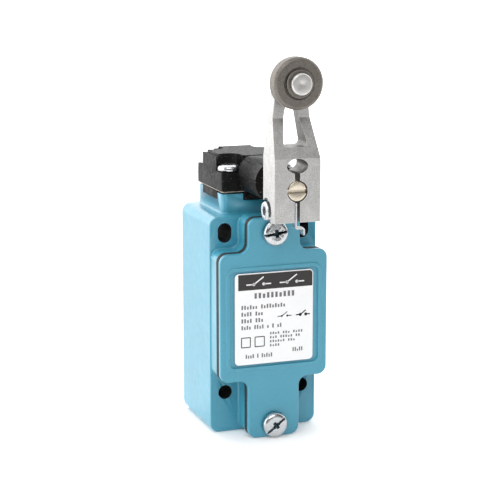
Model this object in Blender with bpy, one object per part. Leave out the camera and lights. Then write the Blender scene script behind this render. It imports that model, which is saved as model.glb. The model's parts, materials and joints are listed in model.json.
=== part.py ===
"""Limit switch: die-cast housing, side rotary head, fixed roller lever and a four-contact switch block.

Metres, +Z up. The front (cover and roller side) faces -Y. The origin is the centre of the four mounting
holes, on the housing's back face.
"""

import math

import bmesh
import bpy
from mathutils import Matrix, Vector

MM = 0.001

# Clearances
FIT = 0.3 * MM  # between pieces that touch
EDGE_INSET = 0.1 * MM  # the raised front lies this far inside the back box
OVERLAP = 1.0 * MM  # how far joined shapes run into each other, and cutters past a face

# Roundness
ROUND_STEPS = 32
SMALL_STEPS = 16
CORNER_STEPS = 5

# Housing
BODY_WIDTH = 41.4 * MM
BODY_HEIGHT = 81.2 * MM
BODY_TOP = 36.0 * MM
BODY_BOTTOM = BODY_TOP - BODY_HEIGHT
BODY_CORNER = 3.4 * MM
FLANGE_DEPTH = 33.5 * MM
RAISED_DEPTH = 6.8 * MM
WALL = 3.0 * MM
BACK_WALL = 3.5 * MM
HALF_WIDTH = BODY_WIDTH / 2
FLANGE_Y = -FLANGE_DEPTH
RAISED_Y = FLANGE_Y - RAISED_DEPTH
CAVITY_BACK = -BACK_WALL

# Mounting holes: slots above, round holes below
HOLE_PITCH_X = 30.0 * MM
HOLE_PITCH_Z = 60.0 * MM
HOLE_RADIUS = 2.65 * MM
SLOT_LENGTH = 7.3 * MM

# Raised front, gasket and cover share one outline
PANEL_WIDTH = BODY_WIDTH - 2 * EDGE_INSET
PANEL_TOP = BODY_TOP + 0.8 * MM
PANEL_BOTTOM = BODY_BOTTOM + EDGE_INSET
MIDDLE_TOP = 24.2 * MM
MIDDLE_BOTTOM = -23.2 * MM
TAB_WIDTH = 19.7 * MM
PANEL_CORNER = 3.3 * MM
GASKET_THICKNESS = 1.9 * MM
GASKET_RIM = 2.6 * MM
COVER_THICKNESS = 2.1 * MM
GASKET_BACK = RAISED_Y - FIT
GASKET_FRONT = GASKET_BACK - GASKET_THICKNESS
COVER_BACK = GASKET_FRONT - FIT
COVER_Y = COVER_BACK - COVER_THICKNESS

# Cover screws
COVER_SCREW_RADIUS = 2.2 * MM
COVER_SCREW_HEAD = 4.7 * MM
COVER_SCREW_HEIGHT = 2.6 * MM
COVER_SCREW_LENGTH = 13.0 * MM
COVER_SCREW_TOP = PANEL_TOP - 5.5 * MM
COVER_SCREW_BOTTOM = PANEL_BOTTOM + 4.8 * MM

# Nameplate, in a shallow pocket with a ridge round it
PLATE_WIDTH = 30.2 * MM
PLATE_HEIGHT = 33.9 * MM
PLATE_CORNER = 1.6 * MM
PLATE_THICKNESS = 0.3 * MM
POCKET_MARGIN = 2.3 * MM
POCKET_DEPTH = 0.5 * MM
RIDGE_WIDTH = 0.9 * MM
RIDGE_HEIGHT = 0.35 * MM

# Conduit entry
ENTRY_RADIUS = 10.1 * MM
ENTRY_Y = -18.5 * MM

# Neck and head share one centre line
HEAD_SIDE = 28.8 * MM
HEAD_BACK_INSET = 0.2 * MM
HEAD_Y = -HEAD_SIDE / 2 - HEAD_BACK_INSET
NECK_TOP = BODY_TOP + 7.2 * MM
NECK_SIDE = HEAD_SIDE - 0.4 * MM
NECK_CORNER = 2.2 * MM
NECK_BORE = 6.5 * MM
STEM_BORE = 4.0 * MM
HEAD_GASKET_THICKNESS = 0.4 * MM
HEAD_GASKET_CORNER = 3.4 * MM
HEAD_GASKET_BOTTOM = NECK_TOP + FIT
HEAD_BOTTOM = HEAD_GASKET_BOTTOM + HEAD_GASKET_THICKNESS + FIT
HEAD_PAD_HEIGHT = 0.9 * MM
HEAD_PAD_SIDE = HEAD_SIDE - 2.8 * MM
HEAD_CORNER = 0.8 * MM
HEAD_PAD_CORNER = 1.0 * MM
HEAD_FRONT = HEAD_Y - HEAD_SIDE / 2
KEY_DEPTH = 3.2 * MM
KEY_THICKNESS = 1.6 * MM
SIDE_KEY_WIDTH = 16.6 * MM
FRONT_KEY_WIDTH = 11.8 * MM

# Head screws
HEAD_SCREW_PITCH = HEAD_SIDE - 8.2 * MM
HEAD_SCREW_RADIUS = 1.9 * MM
HEAD_SCREW_HEAD = 4.1 * MM
HEAD_SCREW_HEIGHT = 2.2 * MM
HEAD_SCREW_LENGTH = 14.0 * MM
HEAD_POCKET_RADIUS = 4.6 * MM
HEAD_POCKET_FLOOR = HEAD_BOTTOM + 7.0 * MM
HEAD_POCKET_SIDE = 6.5 * MM

# Boss on the head, and the shaft through it
SHAFT_RADIUS = 3.5 * MM
SHAFT_SLOT_WIDTH = 1.3 * MM
SHAFT_SLOT_DEPTH = 1.4 * MM
BUSH_WALL = 0.6 * MM
BORE_RADIUS = SHAFT_RADIUS + BUSH_WALL + 2 * FIT
HEAD_FLOOR = 0.8 * MM  # under the bore
SHAFT_Z = HEAD_BOTTOM + HEAD_FLOOR + BORE_RADIUS
BOSS_RADIUS = BORE_RADIUS + 2.6 * MM
BOSS_LENGTH = 16.0 * MM
BOSS_CONE_LENGTH = 9.0 * MM
BOSS_BASE_RADIUS = BOSS_RADIUS + 1.2 * MM
BOSS_Y = HEAD_FRONT - BOSS_LENGTH
HEAD_TOP = SHAFT_Z + BOSS_RADIUS + EDGE_INSET - HEAD_PAD_HEIGHT
SEAL_LENGTH = 2.4 * MM
SEAL_INSET = 0.6 * MM
RING_THICKNESS = 0.9 * MM
RING_GROOVE = 0.6 * MM

# Cam and plunger
CAM_RADIUS = BORE_RADIUS - FIT
CAM_LENGTH = 8.8 * MM
CAM_LIFT = 2.1 * MM
CAM_JOURNAL_RADIUS = 1.6 * MM
CAM_JOURNAL_LENGTH = 5.6 * MM
TANG_THICKNESS = 2.4 * MM
TANG_LENGTH = 2.2 * MM
CAM_FRONT = HEAD_Y - CAM_LENGTH / 2
CAM_BACK = HEAD_Y + CAM_LENGTH / 2
CAM_FLAT_Z = SHAFT_Z - (CAM_RADIUS - CAM_LIFT)
SHAFT_BACK = CAM_FRONT - FIT
RING_FRONT = SHAFT_BACK - 2.4 * MM
SEAL_BACK = BOSS_Y + SEAL_INSET + SEAL_LENGTH
BUSH_BACK = RING_FRONT - FIT
BUSH_LENGTH = BUSH_BACK - SEAL_BACK - FIT
PLUNGER_CAP_RADIUS = 3.4 * MM
PLUNGER_CAP_HEIGHT = 2.4 * MM
PLUNGER_STEM_RADIUS = 2.2 * MM
PLUNGER_TOP = SHAFT_Z - CAM_RADIUS - FIT
PLUNGER_CAP_BOTTOM = PLUNGER_TOP - PLUNGER_CAP_HEIGHT
GUIDE_LENGTH = 4.0 * MM
GUIDE_BOTTOM = BODY_TOP - 6.0 * MM
GUIDE_TOP = GUIDE_BOTTOM + GUIDE_LENGTH
SPRING_WIRE = 0.4 * MM
PLUNGER_SPRING_RADIUS = PLUNGER_STEM_RADIUS + SPRING_WIRE + FIT
PLUNGER_SPRING_TURNS = 4
CAVITY_TOP = MIDDLE_TOP - WALL
CAVITY_BOTTOM = MIDDLE_BOTTOM + WALL
PLUNGER_BOTTOM = CAVITY_TOP - 0.2 * MM

# Lever, about the shaft
BLOCK_WIDTH = 16.9 * MM
BLOCK_BELOW = 10.9 * MM
BLOCK_ABOVE = 11.3 * MM
SLOPE_HEIGHT = 13.3 * MM
LEVER_GAP = 11.2 * MM  # from the boss to the lever's back
BLOCK_DEPTH = 11.0 * MM
ARM_DEPTH = 4.6 * MM
LEVER_RADIUS = 37.0 * MM
ARM_END_RADIUS = 5.4 * MM
SLIT_WIDTH = 2.0 * MM
OVAL_WIDTH = 7.8 * MM
OVAL_HEIGHT = 5.2 * MM
OVAL_ABOVE = 8.7 * MM
WINDOW_BOTTOM = 15.0 * MM
WINDOW_TOP = 30.5 * MM
WINDOW_WIDE = 9.2 * MM
WINDOW_NARROW = 3.6 * MM
WINDOW_CORNER = 1.7 * MM
LEVER_BACK = BOSS_Y - LEVER_GAP
LEVER_FRONT = LEVER_BACK - BLOCK_DEPTH
ARM_FRONT = LEVER_BACK - ARM_DEPTH
BLOCK_BOTTOM = SHAFT_Z - BLOCK_BELOW
BLOCK_TOP = SHAFT_Z + BLOCK_ABOVE
SLOPE_TOP = BLOCK_TOP + SLOPE_HEIGHT
ROLLER_Z = SHAFT_Z + LEVER_RADIUS
SHAFT_FRONT = LEVER_FRONT

# Clamp screw across the slit, below the shaft
CLAMP_RADIUS = 2.0 * MM
CLAMP_HEAD_RADIUS = 3.4 * MM
CLAMP_HEAD_HEIGHT = 2.2 * MM
CLAMP_HEX = 3.0 * MM  # across flats
CLAMP_HEAD_CHAMFER = 0.3 * MM
CLAMP_SEAT_RADIUS = 4.7 * MM
CLAMP_SEAT_DEPTH = 1.6 * MM
CLAMP_TIP = 5.0 * MM  # how far the screw reaches past the slit's middle
CLAMP_Y = LEVER_BACK - 3.2 * MM
CLAMP_Z = SHAFT_Z - SHAFT_RADIUS - CLAMP_RADIUS - 2.1 * MM

# Clip: bent strip, hung on the clamp screw inside the slit
CLIP_THICKNESS = 0.6 * MM
CLIP_TOP = SHAFT_Z - SHAFT_RADIUS - 2 * FIT
CLIP_LEFT = -0.6 * MM
CLIP_FOOT = BLOCK_BOTTOM - 2.5 * MM
CLIP_REACH = 3.0 * MM
CLIP_HOOK = 2.1 * MM
CLIP_BEND = 0.9 * MM
CLIP_FOOT_DEPTH = 3.0 * MM

# Roller on its riveted pin
ROLLER_RADIUS = 9.0 * MM
ROLLER_WIDTH = 6.0 * MM
ROLLER_CHAMFER = 0.9 * MM
PIN_RADIUS = 3.0 * MM
PIN_HEAD_RADIUS = 3.75 * MM
PIN_HEAD_HEIGHT = 1.8 * MM
PIN_HEAD_CHAMFER = 0.6 * MM
PIN_TAIL_RADIUS = 4.2 * MM
PIN_TAIL_HEIGHT = 1.0 * MM
SPACER_THICKNESS = 1.1 * MM
WASHER_RADIUS = 4.8 * MM
WASHER_THICKNESS = 0.4 * MM
SPACER_BACK = ARM_FRONT - FIT
SPACER_FRONT = SPACER_BACK - SPACER_THICKNESS
ROLLER_BACK = SPACER_FRONT - FIT
ROLLER_FRONT = ROLLER_BACK - ROLLER_WIDTH
WASHER_BACK = ROLLER_FRONT - FIT
WASHER_FRONT = WASHER_BACK - WASHER_THICKNESS
PIN_HEAD_BACK = WASHER_FRONT - FIT

# Switch block in the cavity
SWITCH_WIDTH = BODY_WIDTH - 2 * WALL - 3.4 * MM
SWITCH_BACK_GAP = 2.5 * MM
SWITCH_BACK = CAVITY_BACK - SWITCH_BACK_GAP
SWITCH_DEPTH = 21.0 * MM
SWITCH_FRONT = SWITCH_BACK - SWITCH_DEPTH
SWITCH_TOP = CAVITY_TOP - 2.7 * MM
SWITCH_BOTTOM = CAVITY_BOTTOM + 5.6 * MM
CHANNEL_WIDTH = 15.6 * MM
CHANNEL_TOP = SWITCH_TOP - 8.5 * MM
CHANNEL_BOTTOM = SWITCH_BOTTOM + 1.6 * MM
CHANNEL_BACK = HEAD_Y + 5.6 * MM
SHELF_Y = SWITCH_FRONT + 3.8 * MM
SHELF_DEPTH = 6.0 * MM  # of the terminal screws' holes
LID_THICKNESS = 1.6 * MM
LID_CORNER = 1.0 * MM
SWITCH_SCREW_RADIUS = 1.5 * MM
SWITCH_SCREW_HEAD = 2.5 * MM
SWITCH_SCREW_BITE = 1.7 * MM  # into the housing's back wall
SWITCH_SCREW_X = SWITCH_WIDTH / 2 - 4.4 * MM
SWITCH_SCREW_Z = SWITCH_TOP - 2.9 * MM
SWITCH_BOSS_RADIUS = 3.4 * MM

# Contact carrier and contacts
BUTTON_RADIUS = 2.5 * MM
BUTTON_TOP = PLUNGER_BOTTOM - FIT
CARRIER_WIDTH = 6.0 * MM
CARRIER_DEPTH = 7.0 * MM
CARRIER_TOP = CHANNEL_TOP - 0.6 * MM
CARRIER_BOTTOM = CHANNEL_BOTTOM + 4.5 * MM
STRIP_THICKNESS = 1.0 * MM
BRIDGE_WIDTH = 13.6 * MM
BRIDGE_DEPTH = 4.0 * MM
UPPER_STRIP_Z = CHANNEL_TOP - 6.0 * MM
UPPER_BRIDGE_Z = UPPER_STRIP_Z - FIT - STRIP_THICKNESS
LOWER_BRIDGE_Z = UPPER_BRIDGE_Z - 7.2 * MM
LOWER_STRIP_Z = LOWER_BRIDGE_Z - CAM_LIFT - FIT - STRIP_THICKNESS
STRIP_GAP = 0.9 * MM  # from the carrier's side to a fixed contact
TERMINAL_HEIGHT = 5.6 * MM
TERMINAL_OUTER = SWITCH_WIDTH / 2 - 1.8 * MM
TERMINAL_SCREW_X = SWITCH_WIDTH / 2 - 5.0 * MM
TERMINAL_SCREW_RADIUS = 1.6 * MM
TERMINAL_SCREW_HEAD = 2.4 * MM
CONTACT_SPRING_RADIUS = 2.0 * MM
CONTACT_SPRING_TURNS = 3

# Earth screw in the cavity's back wall
EARTH_SCREW_RADIUS = 1.6 * MM
EARTH_SCREW_HEAD = 2.2 * MM
EARTH_SCREW_LENGTH = 2.4 * MM
EARTH_SCREW_X = -HALF_WIDTH + WALL + 5.2 * MM
EARTH_SCREW_Z = CAVITY_BOTTOM + EARTH_SCREW_HEAD + FIT

SMALL_HEAD_HEIGHT = 1.6 * MM
RECESS_DEPTH_SHARE = 0.55  # of a screw head's height
SHARP_ANGLE = math.radians(35)

FORWARD = Vector((0, -1, 0))
LEFT = Vector((-1, 0, 0))
UP = Vector((0, 0, 1))


# Materials


def material(name, colour, roughness, metallic):
    made = bpy.data.materials.new(name)
    made.use_nodes = True
    shader = made.node_tree.nodes["Principled BSDF"]
    shader.inputs["Base Color"].default_value = (*colour, 1)
    shader.inputs["Roughness"].default_value = roughness
    shader.inputs["Metallic"].default_value = metallic
    made.diffuse_color = (*colour, 1)
    return made


# Shape tools


def new_object(name, mesh_data, finish):
    """An object from a bmesh, with outward faces and smooth round sides."""
    bmesh.ops.recalc_face_normals(mesh_data, faces=mesh_data.faces)
    mesh = bpy.data.meshes.new(name)
    mesh_data.to_mesh(mesh)
    mesh_data.free()
    mesh.shade_smooth()
    mesh.set_sharp_from_angle(angle=SHARP_ANGLE)
    made = bpy.data.objects.new(name, mesh)
    bpy.context.scene.collection.objects.link(made)
    if finish:
        mesh.materials.append(finish)
    return made


def rounded(corners, steps=CORNER_STEPS):
    """An outline from (u, v, radius) corners in order, with each corner drawn as an arc."""
    outline = []
    for index, (u, v, radius) in enumerate(corners):
        here = Vector((u, v))
        before = (Vector(corners[index - 1][:2]) - here).normalized()
        after = (Vector(corners[(index + 1) % len(corners)][:2]) - here).normalized()
        if radius <= 0:
            outline.append(here)
            continue
        half_angle = before.angle(after) / 2
        run = radius / math.tan(half_angle)
        centre = here + (before + after).normalized() * radius / math.sin(half_angle)
        start = here + before * run - centre
        sweep = (here + after * run - centre).angle_signed(start)
        for step in range(steps + 1):
            turn = Matrix.Rotation(sweep * step / steps, 2)
            outline.append(centre + turn @ start)
    return outline


def rectangle(low_u, high_u, low_v, high_v, radius=0.0):
    corners = [(low_u, low_v), (high_u, low_v), (high_u, high_v), (low_u, high_v)]
    return rounded([(u, v, radius) for u, v in corners])


def ellipse(centre_u, centre_v, half_u, half_v, steps=ROUND_STEPS):
    turns = [2 * math.pi * step / steps for step in range(steps)]
    return [Vector((centre_u + half_u * math.cos(t), centre_v + half_v * math.sin(t))) for t in turns]


def prism(name, outline, axis, low, high, finish=None):
    """The outline extruded along an axis: (x, y) along Z, (x, z) along Y, (y, z) along X."""
    place = {
        "X": lambda u, v: (low, u, v),
        "Y": lambda u, v: (u, low, v),
        "Z": lambda u, v: (u, v, low),
    }[axis]
    along = {"X": Vector((1, 0, 0)), "Y": Vector((0, 1, 0)), "Z": UP}[axis]
    made = bmesh.new()
    face = made.faces.new([made.verts.new(place(*point)) for point in outline])
    grown = bmesh.ops.extrude_face_region(made, geom=[face])["geom"]
    moved = [part for part in grown if isinstance(part, bmesh.types.BMVert)]
    bmesh.ops.translate(made, vec=along * (high - low), verts=moved)
    return new_object(name, made, finish)


def box(name, low, high, finish=None):
    return prism(name, rectangle(low[0], high[0], low[1], high[1]), "Z", low[2], high[2], finish)


def turned(name, profile, centre, towards, finish=None, steps=ROUND_STEPS):
    """A solid of revolution. The profile holds (radius, height) along the direction from the centre."""
    made = bmesh.new()
    points = [made.verts.new((radius, 0, height)) for radius, height in profile]
    edges = [made.edges.new(pair) for pair in zip(points, points[1:])]
    bmesh.ops.spin(
        made, geom=points + edges, axis=UP, cent=(0, 0, 0), steps=steps, angle=2 * math.pi
    )
    bmesh.ops.remove_doubles(made, verts=made.verts, dist=0.001 * MM)
    turn = towards.to_track_quat("Z", "Y").to_matrix().to_4x4()
    bmesh.ops.transform(made, matrix=Matrix.Translation(centre) @ turn, verts=made.verts)
    return new_object(name, made, finish)


def rod(name, radius, length, centre, towards, finish=None, steps=ROUND_STEPS):
    profile = [(0, 0), (radius, 0), (radius, length), (0, length)]
    return turned(name, profile, centre, towards, finish, steps)


def ring(name, inner, outer, length, centre, towards, finish=None, steps=ROUND_STEPS):
    profile = [(inner, 0), (outer, 0), (outer, length), (inner, length), (inner, 0)]
    return turned(name, profile, centre, towards, finish, steps)


def helix(name, radius, low, high, turns, finish):
    """A coil spring on the head's centre line between two heights, as a curve with a round section."""
    steps_per_turn = 12
    count = turns * steps_per_turn
    curve = bpy.data.curves.new(name, "CURVE")
    curve.dimensions = "3D"
    curve.bevel_depth = SPRING_WIRE
    curve.bevel_resolution = 1
    curve.use_fill_caps = True
    spline = curve.splines.new("POLY")
    spline.points.add(count)
    for step, point in enumerate(spline.points):
        angle = 2 * math.pi * step / steps_per_turn
        height = low + SPRING_WIRE + (high - low - 2 * SPRING_WIRE) * step / count
        point.co = (radius * math.cos(angle), HEAD_Y + radius * math.sin(angle), height, 1)
    made = bpy.data.objects.new(name, curve)
    bpy.context.scene.collection.objects.link(made)
    curve.materials.append(finish)
    return made


def combine(target, helper, operation):
    """A Boolean of the target with a helper, which is then hidden."""
    modifier = target.modifiers.new(helper.name, "BOOLEAN")
    modifier.operation = operation
    modifier.solver = "EXACT"
    modifier.object = helper
    helper.hide_render = True
    helper.display_type = "WIRE"


def cut(target, *cutters):
    for cutter in cutters:
        combine(target, cutter, "DIFFERENCE")


def join(target, *others):
    for other in others:
        combine(target, other, "UNION")


def pivot(name, location):
    """An empty on a joint's axis."""
    made = bpy.data.objects.new(name, None)
    made.empty_display_size = 5 * MM
    made.location = location
    bpy.context.scene.collection.objects.link(made)
    return made


def hang(parent, *pieces):
    """Parents pieces to an empty, so that their origins lie on its joint's axis."""
    for piece in pieces:
        piece.data.transform(Matrix.Translation(-parent.location))
        piece.parent = parent


def screw_mesh(name, radius, length, head_radius, head_height, recess, finish):
    """A pan-head screw at the origin: shank down, head up, seated at height 0."""
    dome = 0.3 * head_height
    profile = [
        (0, -length),
        (radius, -length),
        (radius, 0),
        (head_radius, 0),
        (head_radius, head_height - 2 * dome),
        (head_radius - dome, head_height - 0.5 * dome),
        (0.6 * head_radius, head_height),
        (0, head_height),
    ]
    made = turned(name, profile, (0, 0, 0), UP, finish, SMALL_STEPS)
    arm = 0.62 * head_radius if recess == "cross" else head_radius + OVERLAP
    width = 0.13 * head_radius
    floor = head_height * (1 - RECESS_DEPTH_SHARE)
    lines = [(arm, width), (width, 0.62 * head_radius)]
    for index, (reach_x, reach_y) in enumerate(lines):
        low = (-reach_x, -reach_y, floor)
        high = (reach_x, reach_y, head_height + OVERLAP)
        cut(made, box(f"{name}_recess_{index}", low, high))
    return made


def applied_mesh(source):
    """The source object's mesh with its modifiers applied. The source and its cutters are removed."""
    graph = bpy.context.evaluated_depsgraph_get()
    mesh = bpy.data.meshes.new_from_object(source.evaluated_get(graph))
    for modifier in source.modifiers:
        bpy.data.objects.remove(modifier.object)
    bpy.data.objects.remove(source)
    return mesh


def place_screws(mesh, places, towards):
    """Copies of one screw. Each place is a name and the point where the head seats."""
    for name, point in places:
        made = bpy.data.objects.new(name, mesh)
        made.location = point
        made.rotation_euler = towards.to_track_quat("Z", "Y").to_euler()
        bpy.context.scene.collection.objects.link(made)


# Shared outlines


def panel_outline(inset=0.0):
    """The plus-like outline of the cover: full width in the middle, narrow tabs above and below."""
    half = PANEL_WIDTH / 2 - inset
    tab = TAB_WIDTH / 2 - inset
    top = PANEL_TOP - inset
    bottom = PANEL_BOTTOM + inset
    middle_top = MIDDLE_TOP - inset
    middle_bottom = MIDDLE_BOTTOM + inset
    corner = PANEL_CORNER
    right = [
        (tab, bottom, corner),
        (tab, middle_bottom, corner),
        (half, middle_bottom, corner),
        (half, middle_top, corner),
        (tab, middle_top, corner),
        (tab, top, corner),
    ]
    left = [(-u, v, radius) for u, v, radius in reversed(right)]
    return rounded(right + left)


def hole_places():
    """The mounting holes' centres, as (x, z)."""
    return [(x * HOLE_PITCH_X / 2, z * HOLE_PITCH_Z / 2) for z in (1, -1) for x in (-1, 1)]


def head_screw_places():
    reach = HEAD_SCREW_PITCH / 2
    names = {(-1, -1): "front_left", (1, -1): "front_right", (-1, 1): "back_left", (1, 1): "back_right"}
    return [(name, x * reach, HEAD_Y + y * reach) for (x, y), name in names.items()]


def cover_screw_heights():
    return [("top", COVER_SCREW_TOP), ("bottom", COVER_SCREW_BOTTOM)]


def key_boxes(name, top, clearance):
    """The four tabs under the head, or with a clearance their notches in the neck."""
    outer = HEAD_SIDE / 2 + (OVERLAP if clearance else -EDGE_INSET)
    inner = HEAD_SIDE / 2 - KEY_THICKNESS - clearance
    bottom = HEAD_BOTTOM - KEY_DEPTH - clearance
    side = SIDE_KEY_WIDTH / 2 + clearance
    front = FRONT_KEY_WIDTH / 2 + clearance
    boxes = []
    for sign in (-1, 1):
        across = sorted((sign * inner, sign * outer))
        low = (across[0], HEAD_Y - side, bottom)
        high = (across[1], HEAD_Y + side, top)
        boxes.append(box(f"{name}_side_{sign}", low, high))
        low = (-front, HEAD_Y + across[0], bottom)
        high = (front, HEAD_Y + across[1], top)
        boxes.append(box(f"{name}_front_{sign}", low, high))
    return boxes


# Housing and cover


def build_housing(finish):
    body = rectangle(-HALF_WIDTH, HALF_WIDTH, BODY_BOTTOM, BODY_TOP, BODY_CORNER)
    housing = prism("housing", body, "Y", FLANGE_Y, 0, finish)
    raised = prism("raised_front", panel_outline(), "Y", RAISED_Y, FLANGE_Y + OVERLAP)
    half = NECK_SIDE / 2
    neck_outline = rectangle(-half, half, HEAD_Y - half, HEAD_Y + half, NECK_CORNER)
    neck = prism("neck", neck_outline, "Z", BODY_TOP - 2 * OVERLAP, NECK_TOP)
    join(housing, raised, neck)
    cavity = rectangle(-HALF_WIDTH + WALL, HALF_WIDTH - WALL, CAVITY_BOTTOM, CAVITY_TOP, PANEL_CORNER)
    cut(housing, prism("cavity", cavity, "Y", RAISED_Y - OVERLAP, CAVITY_BACK))
    cut(housing, *key_boxes("key_notch", NECK_TOP + OVERLAP, FIT))
    add_switch_bosses(housing)
    cut_housing_holes(housing)
    return housing


def add_switch_bosses(housing):
    for sign in (-1, 1):
        outline = ellipse(sign * SWITCH_SCREW_X, SWITCH_SCREW_Z, SWITCH_BOSS_RADIUS, SWITCH_BOSS_RADIUS)
        join(housing, prism(f"switch_boss_{sign}", outline, "Y", SWITCH_BACK + FIT, CAVITY_BACK + OVERLAP))
        hole_depth = SWITCH_SCREW_BITE + FIT
        hole = (sign * SWITCH_SCREW_X, CAVITY_BACK + hole_depth, SWITCH_SCREW_Z)
        radius = SWITCH_SCREW_RADIUS + FIT
        length = SWITCH_BACK_GAP + hole_depth + OVERLAP
        cut(housing, rod(f"switch_hole_{sign}", radius, length, hole, FORWARD, steps=SMALL_STEPS))


def cut_housing_holes(housing):
    for index, (x, z) in enumerate(hole_places()):
        stretch = SLOT_LENGTH / 2 if z > 0 else HOLE_RADIUS
        hole = rectangle(x - HOLE_RADIUS, x + HOLE_RADIUS, z - stretch, z + stretch, HOLE_RADIUS * 0.999)
        cut(housing, prism(f"mounting_hole_{index}", hole, "Y", FLANGE_Y - OVERLAP, OVERLAP))
    entry_length = CAVITY_BOTTOM + OVERLAP - (BODY_BOTTOM - OVERLAP)
    cut(housing, rod("entry", ENTRY_RADIUS, entry_length, (0, ENTRY_Y, BODY_BOTTOM - OVERLAP), UP))
    stem_length = GUIDE_BOTTOM - FIT - CAVITY_TOP + 2 * OVERLAP
    cut(housing, rod("stem_bore", STEM_BORE, stem_length, (0, HEAD_Y, CAVITY_TOP - OVERLAP), UP))
    neck_length = NECK_TOP - GUIDE_BOTTOM + FIT + OVERLAP
    cut(housing, rod("neck_bore", NECK_BORE, neck_length, (0, HEAD_Y, GUIDE_BOTTOM - FIT), UP))
    for name, z in cover_screw_heights():
        depth = COVER_SCREW_LENGTH + FIT
        radius = COVER_SCREW_RADIUS + FIT
        centre = (0, COVER_Y - FIT + depth, z)
        cut(housing, rod(f"cover_hole_{name}", radius, depth, centre, FORWARD))
    for name, x, y in head_screw_places():
        bottom = HEAD_POCKET_FLOOR - HEAD_SCREW_LENGTH
        radius = HEAD_SCREW_RADIUS + FIT
        length = HEAD_BOTTOM - bottom
        cut(housing, rod(f"neck_hole_{name}", radius, length, (x, y, bottom), UP, steps=SMALL_STEPS))
    earth = (EARTH_SCREW_X, CAVITY_BACK + EARTH_SCREW_LENGTH + FIT, EARTH_SCREW_Z)
    length = EARTH_SCREW_LENGTH + FIT + OVERLAP
    cut(housing, rod("earth_hole", EARTH_SCREW_RADIUS + FIT, length, earth, FORWARD, steps=SMALL_STEPS))


def cut_cover_screw_holes(target, prefix, front, back):
    for name, z in cover_screw_heights():
        length = back - front + 2 * OVERLAP
        centre = (0, back + OVERLAP, z)
        cut(target, rod(f"{prefix}_{name}", COVER_SCREW_RADIUS + FIT, length, centre, FORWARD))


def build_cover_gasket(finish):
    gasket = prism("cover_gasket", panel_outline(), "Y", GASKET_FRONT, GASKET_BACK, finish)
    half = PANEL_WIDTH / 2 - GASKET_RIM
    opening = rectangle(-half, half, MIDDLE_BOTTOM + GASKET_RIM, MIDDLE_TOP - GASKET_RIM, PANEL_CORNER / 2)
    cut(gasket, prism("gasket_opening", opening, "Y", GASKET_FRONT - OVERLAP, GASKET_BACK + OVERLAP))
    cut_cover_screw_holes(gasket, "gasket_hole", GASKET_FRONT, GASKET_BACK)


def build_cover(finish):
    cover = prism("cover", panel_outline(), "Y", COVER_Y, COVER_BACK, finish)
    pocket_x = PLATE_WIDTH / 2 + POCKET_MARGIN
    pocket_z = PLATE_HEIGHT / 2 + POCKET_MARGIN / 2
    ridge_x = pocket_x + RIDGE_WIDTH
    ridge_z = pocket_z + RIDGE_WIDTH
    ridge = rectangle(-ridge_x, ridge_x, -ridge_z, ridge_z, PLATE_CORNER + RIDGE_WIDTH)
    pocket = rectangle(-pocket_x, pocket_x, -pocket_z, pocket_z, PLATE_CORNER)
    join(cover, prism("ridge", ridge, "Y", COVER_Y - RIDGE_HEIGHT, COVER_Y + OVERLAP))
    cut(cover, prism("pocket", pocket, "Y", COVER_Y - OVERLAP, COVER_Y + POCKET_DEPTH))
    cut_cover_screw_holes(cover, "cover_screw_hole", COVER_Y, COVER_BACK)


def build_nameplate(finish):
    half_x = PLATE_WIDTH / 2
    half_z = PLATE_HEIGHT / 2
    back = COVER_Y + POCKET_DEPTH - FIT
    outline = rectangle(-half_x, half_x, -half_z, half_z, PLATE_CORNER)
    prism("nameplate", outline, "Y", back - PLATE_THICKNESS, back, finish)


def build_cover_screws(finish):
    length = COVER_SCREW_LENGTH - FIT
    screw = screw_mesh(
        "cover_screw", COVER_SCREW_RADIUS, length, COVER_SCREW_HEAD, COVER_SCREW_HEIGHT, "slot", finish
    )
    places = [(f"cover_screw_{name}", (0, COVER_Y - FIT, z)) for name, z in cover_screw_heights()]
    place_screws(applied_mesh(screw), places, FORWARD)


def build_earth_screw(finish):
    length = EARTH_SCREW_LENGTH
    screw = screw_mesh(
        "earth", EARTH_SCREW_RADIUS, length, EARTH_SCREW_HEAD, SMALL_HEAD_HEIGHT, "cross", finish
    )
    point = (EARTH_SCREW_X, CAVITY_BACK - FIT, EARTH_SCREW_Z)
    place_screws(applied_mesh(screw), [("earth_screw", point)], FORWARD)


# Head


def build_head_gasket(finish):
    half = HEAD_SIDE / 2 - KEY_THICKNESS - FIT
    outline = rectangle(-half, half, HEAD_Y - half, HEAD_Y + half, HEAD_GASKET_CORNER)
    top = HEAD_GASKET_BOTTOM + HEAD_GASKET_THICKNESS
    gasket = prism("head_gasket", outline, "Z", HEAD_GASKET_BOTTOM, top, finish)
    length = HEAD_GASKET_THICKNESS + 2 * OVERLAP
    base = HEAD_GASKET_BOTTOM - OVERLAP
    cut(gasket, rod("gasket_bore", NECK_BORE, length, (0, HEAD_Y, base), UP))
    for name, x, y in head_screw_places():
        radius = HEAD_SCREW_RADIUS + FIT
        cut(gasket, rod(f"gasket_hole_{name}", radius, length, (x, y, base), UP, steps=SMALL_STEPS))


def head_pocket_outline(sign_x, sign_y):
    """A corner pocket: round behind the screw head and open to both outer faces."""
    centre_x = HEAD_SCREW_PITCH / 2
    side_wall = HEAD_SIDE / 2 - HEAD_POCKET_SIDE
    front_wall = centre_x - HEAD_POCKET_RADIUS
    outer = HEAD_SIDE / 2 + OVERLAP
    start = math.asin((side_wall - centre_x) / HEAD_POCKET_RADIUS)
    steps = 2 * CORNER_STEPS
    angles = [start - (math.pi + start) * step / steps for step in range(steps + 1)]
    arc = [
        (centre_x + HEAD_POCKET_RADIUS * math.cos(a), centre_x + HEAD_POCKET_RADIUS * math.sin(a))
        for a in angles
    ]
    corner = [(front_wall, outer), (outer, outer), (outer, side_wall)]
    return [Vector((sign_x * u, HEAD_Y + sign_y * v)) for u, v in arc + corner]


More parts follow.
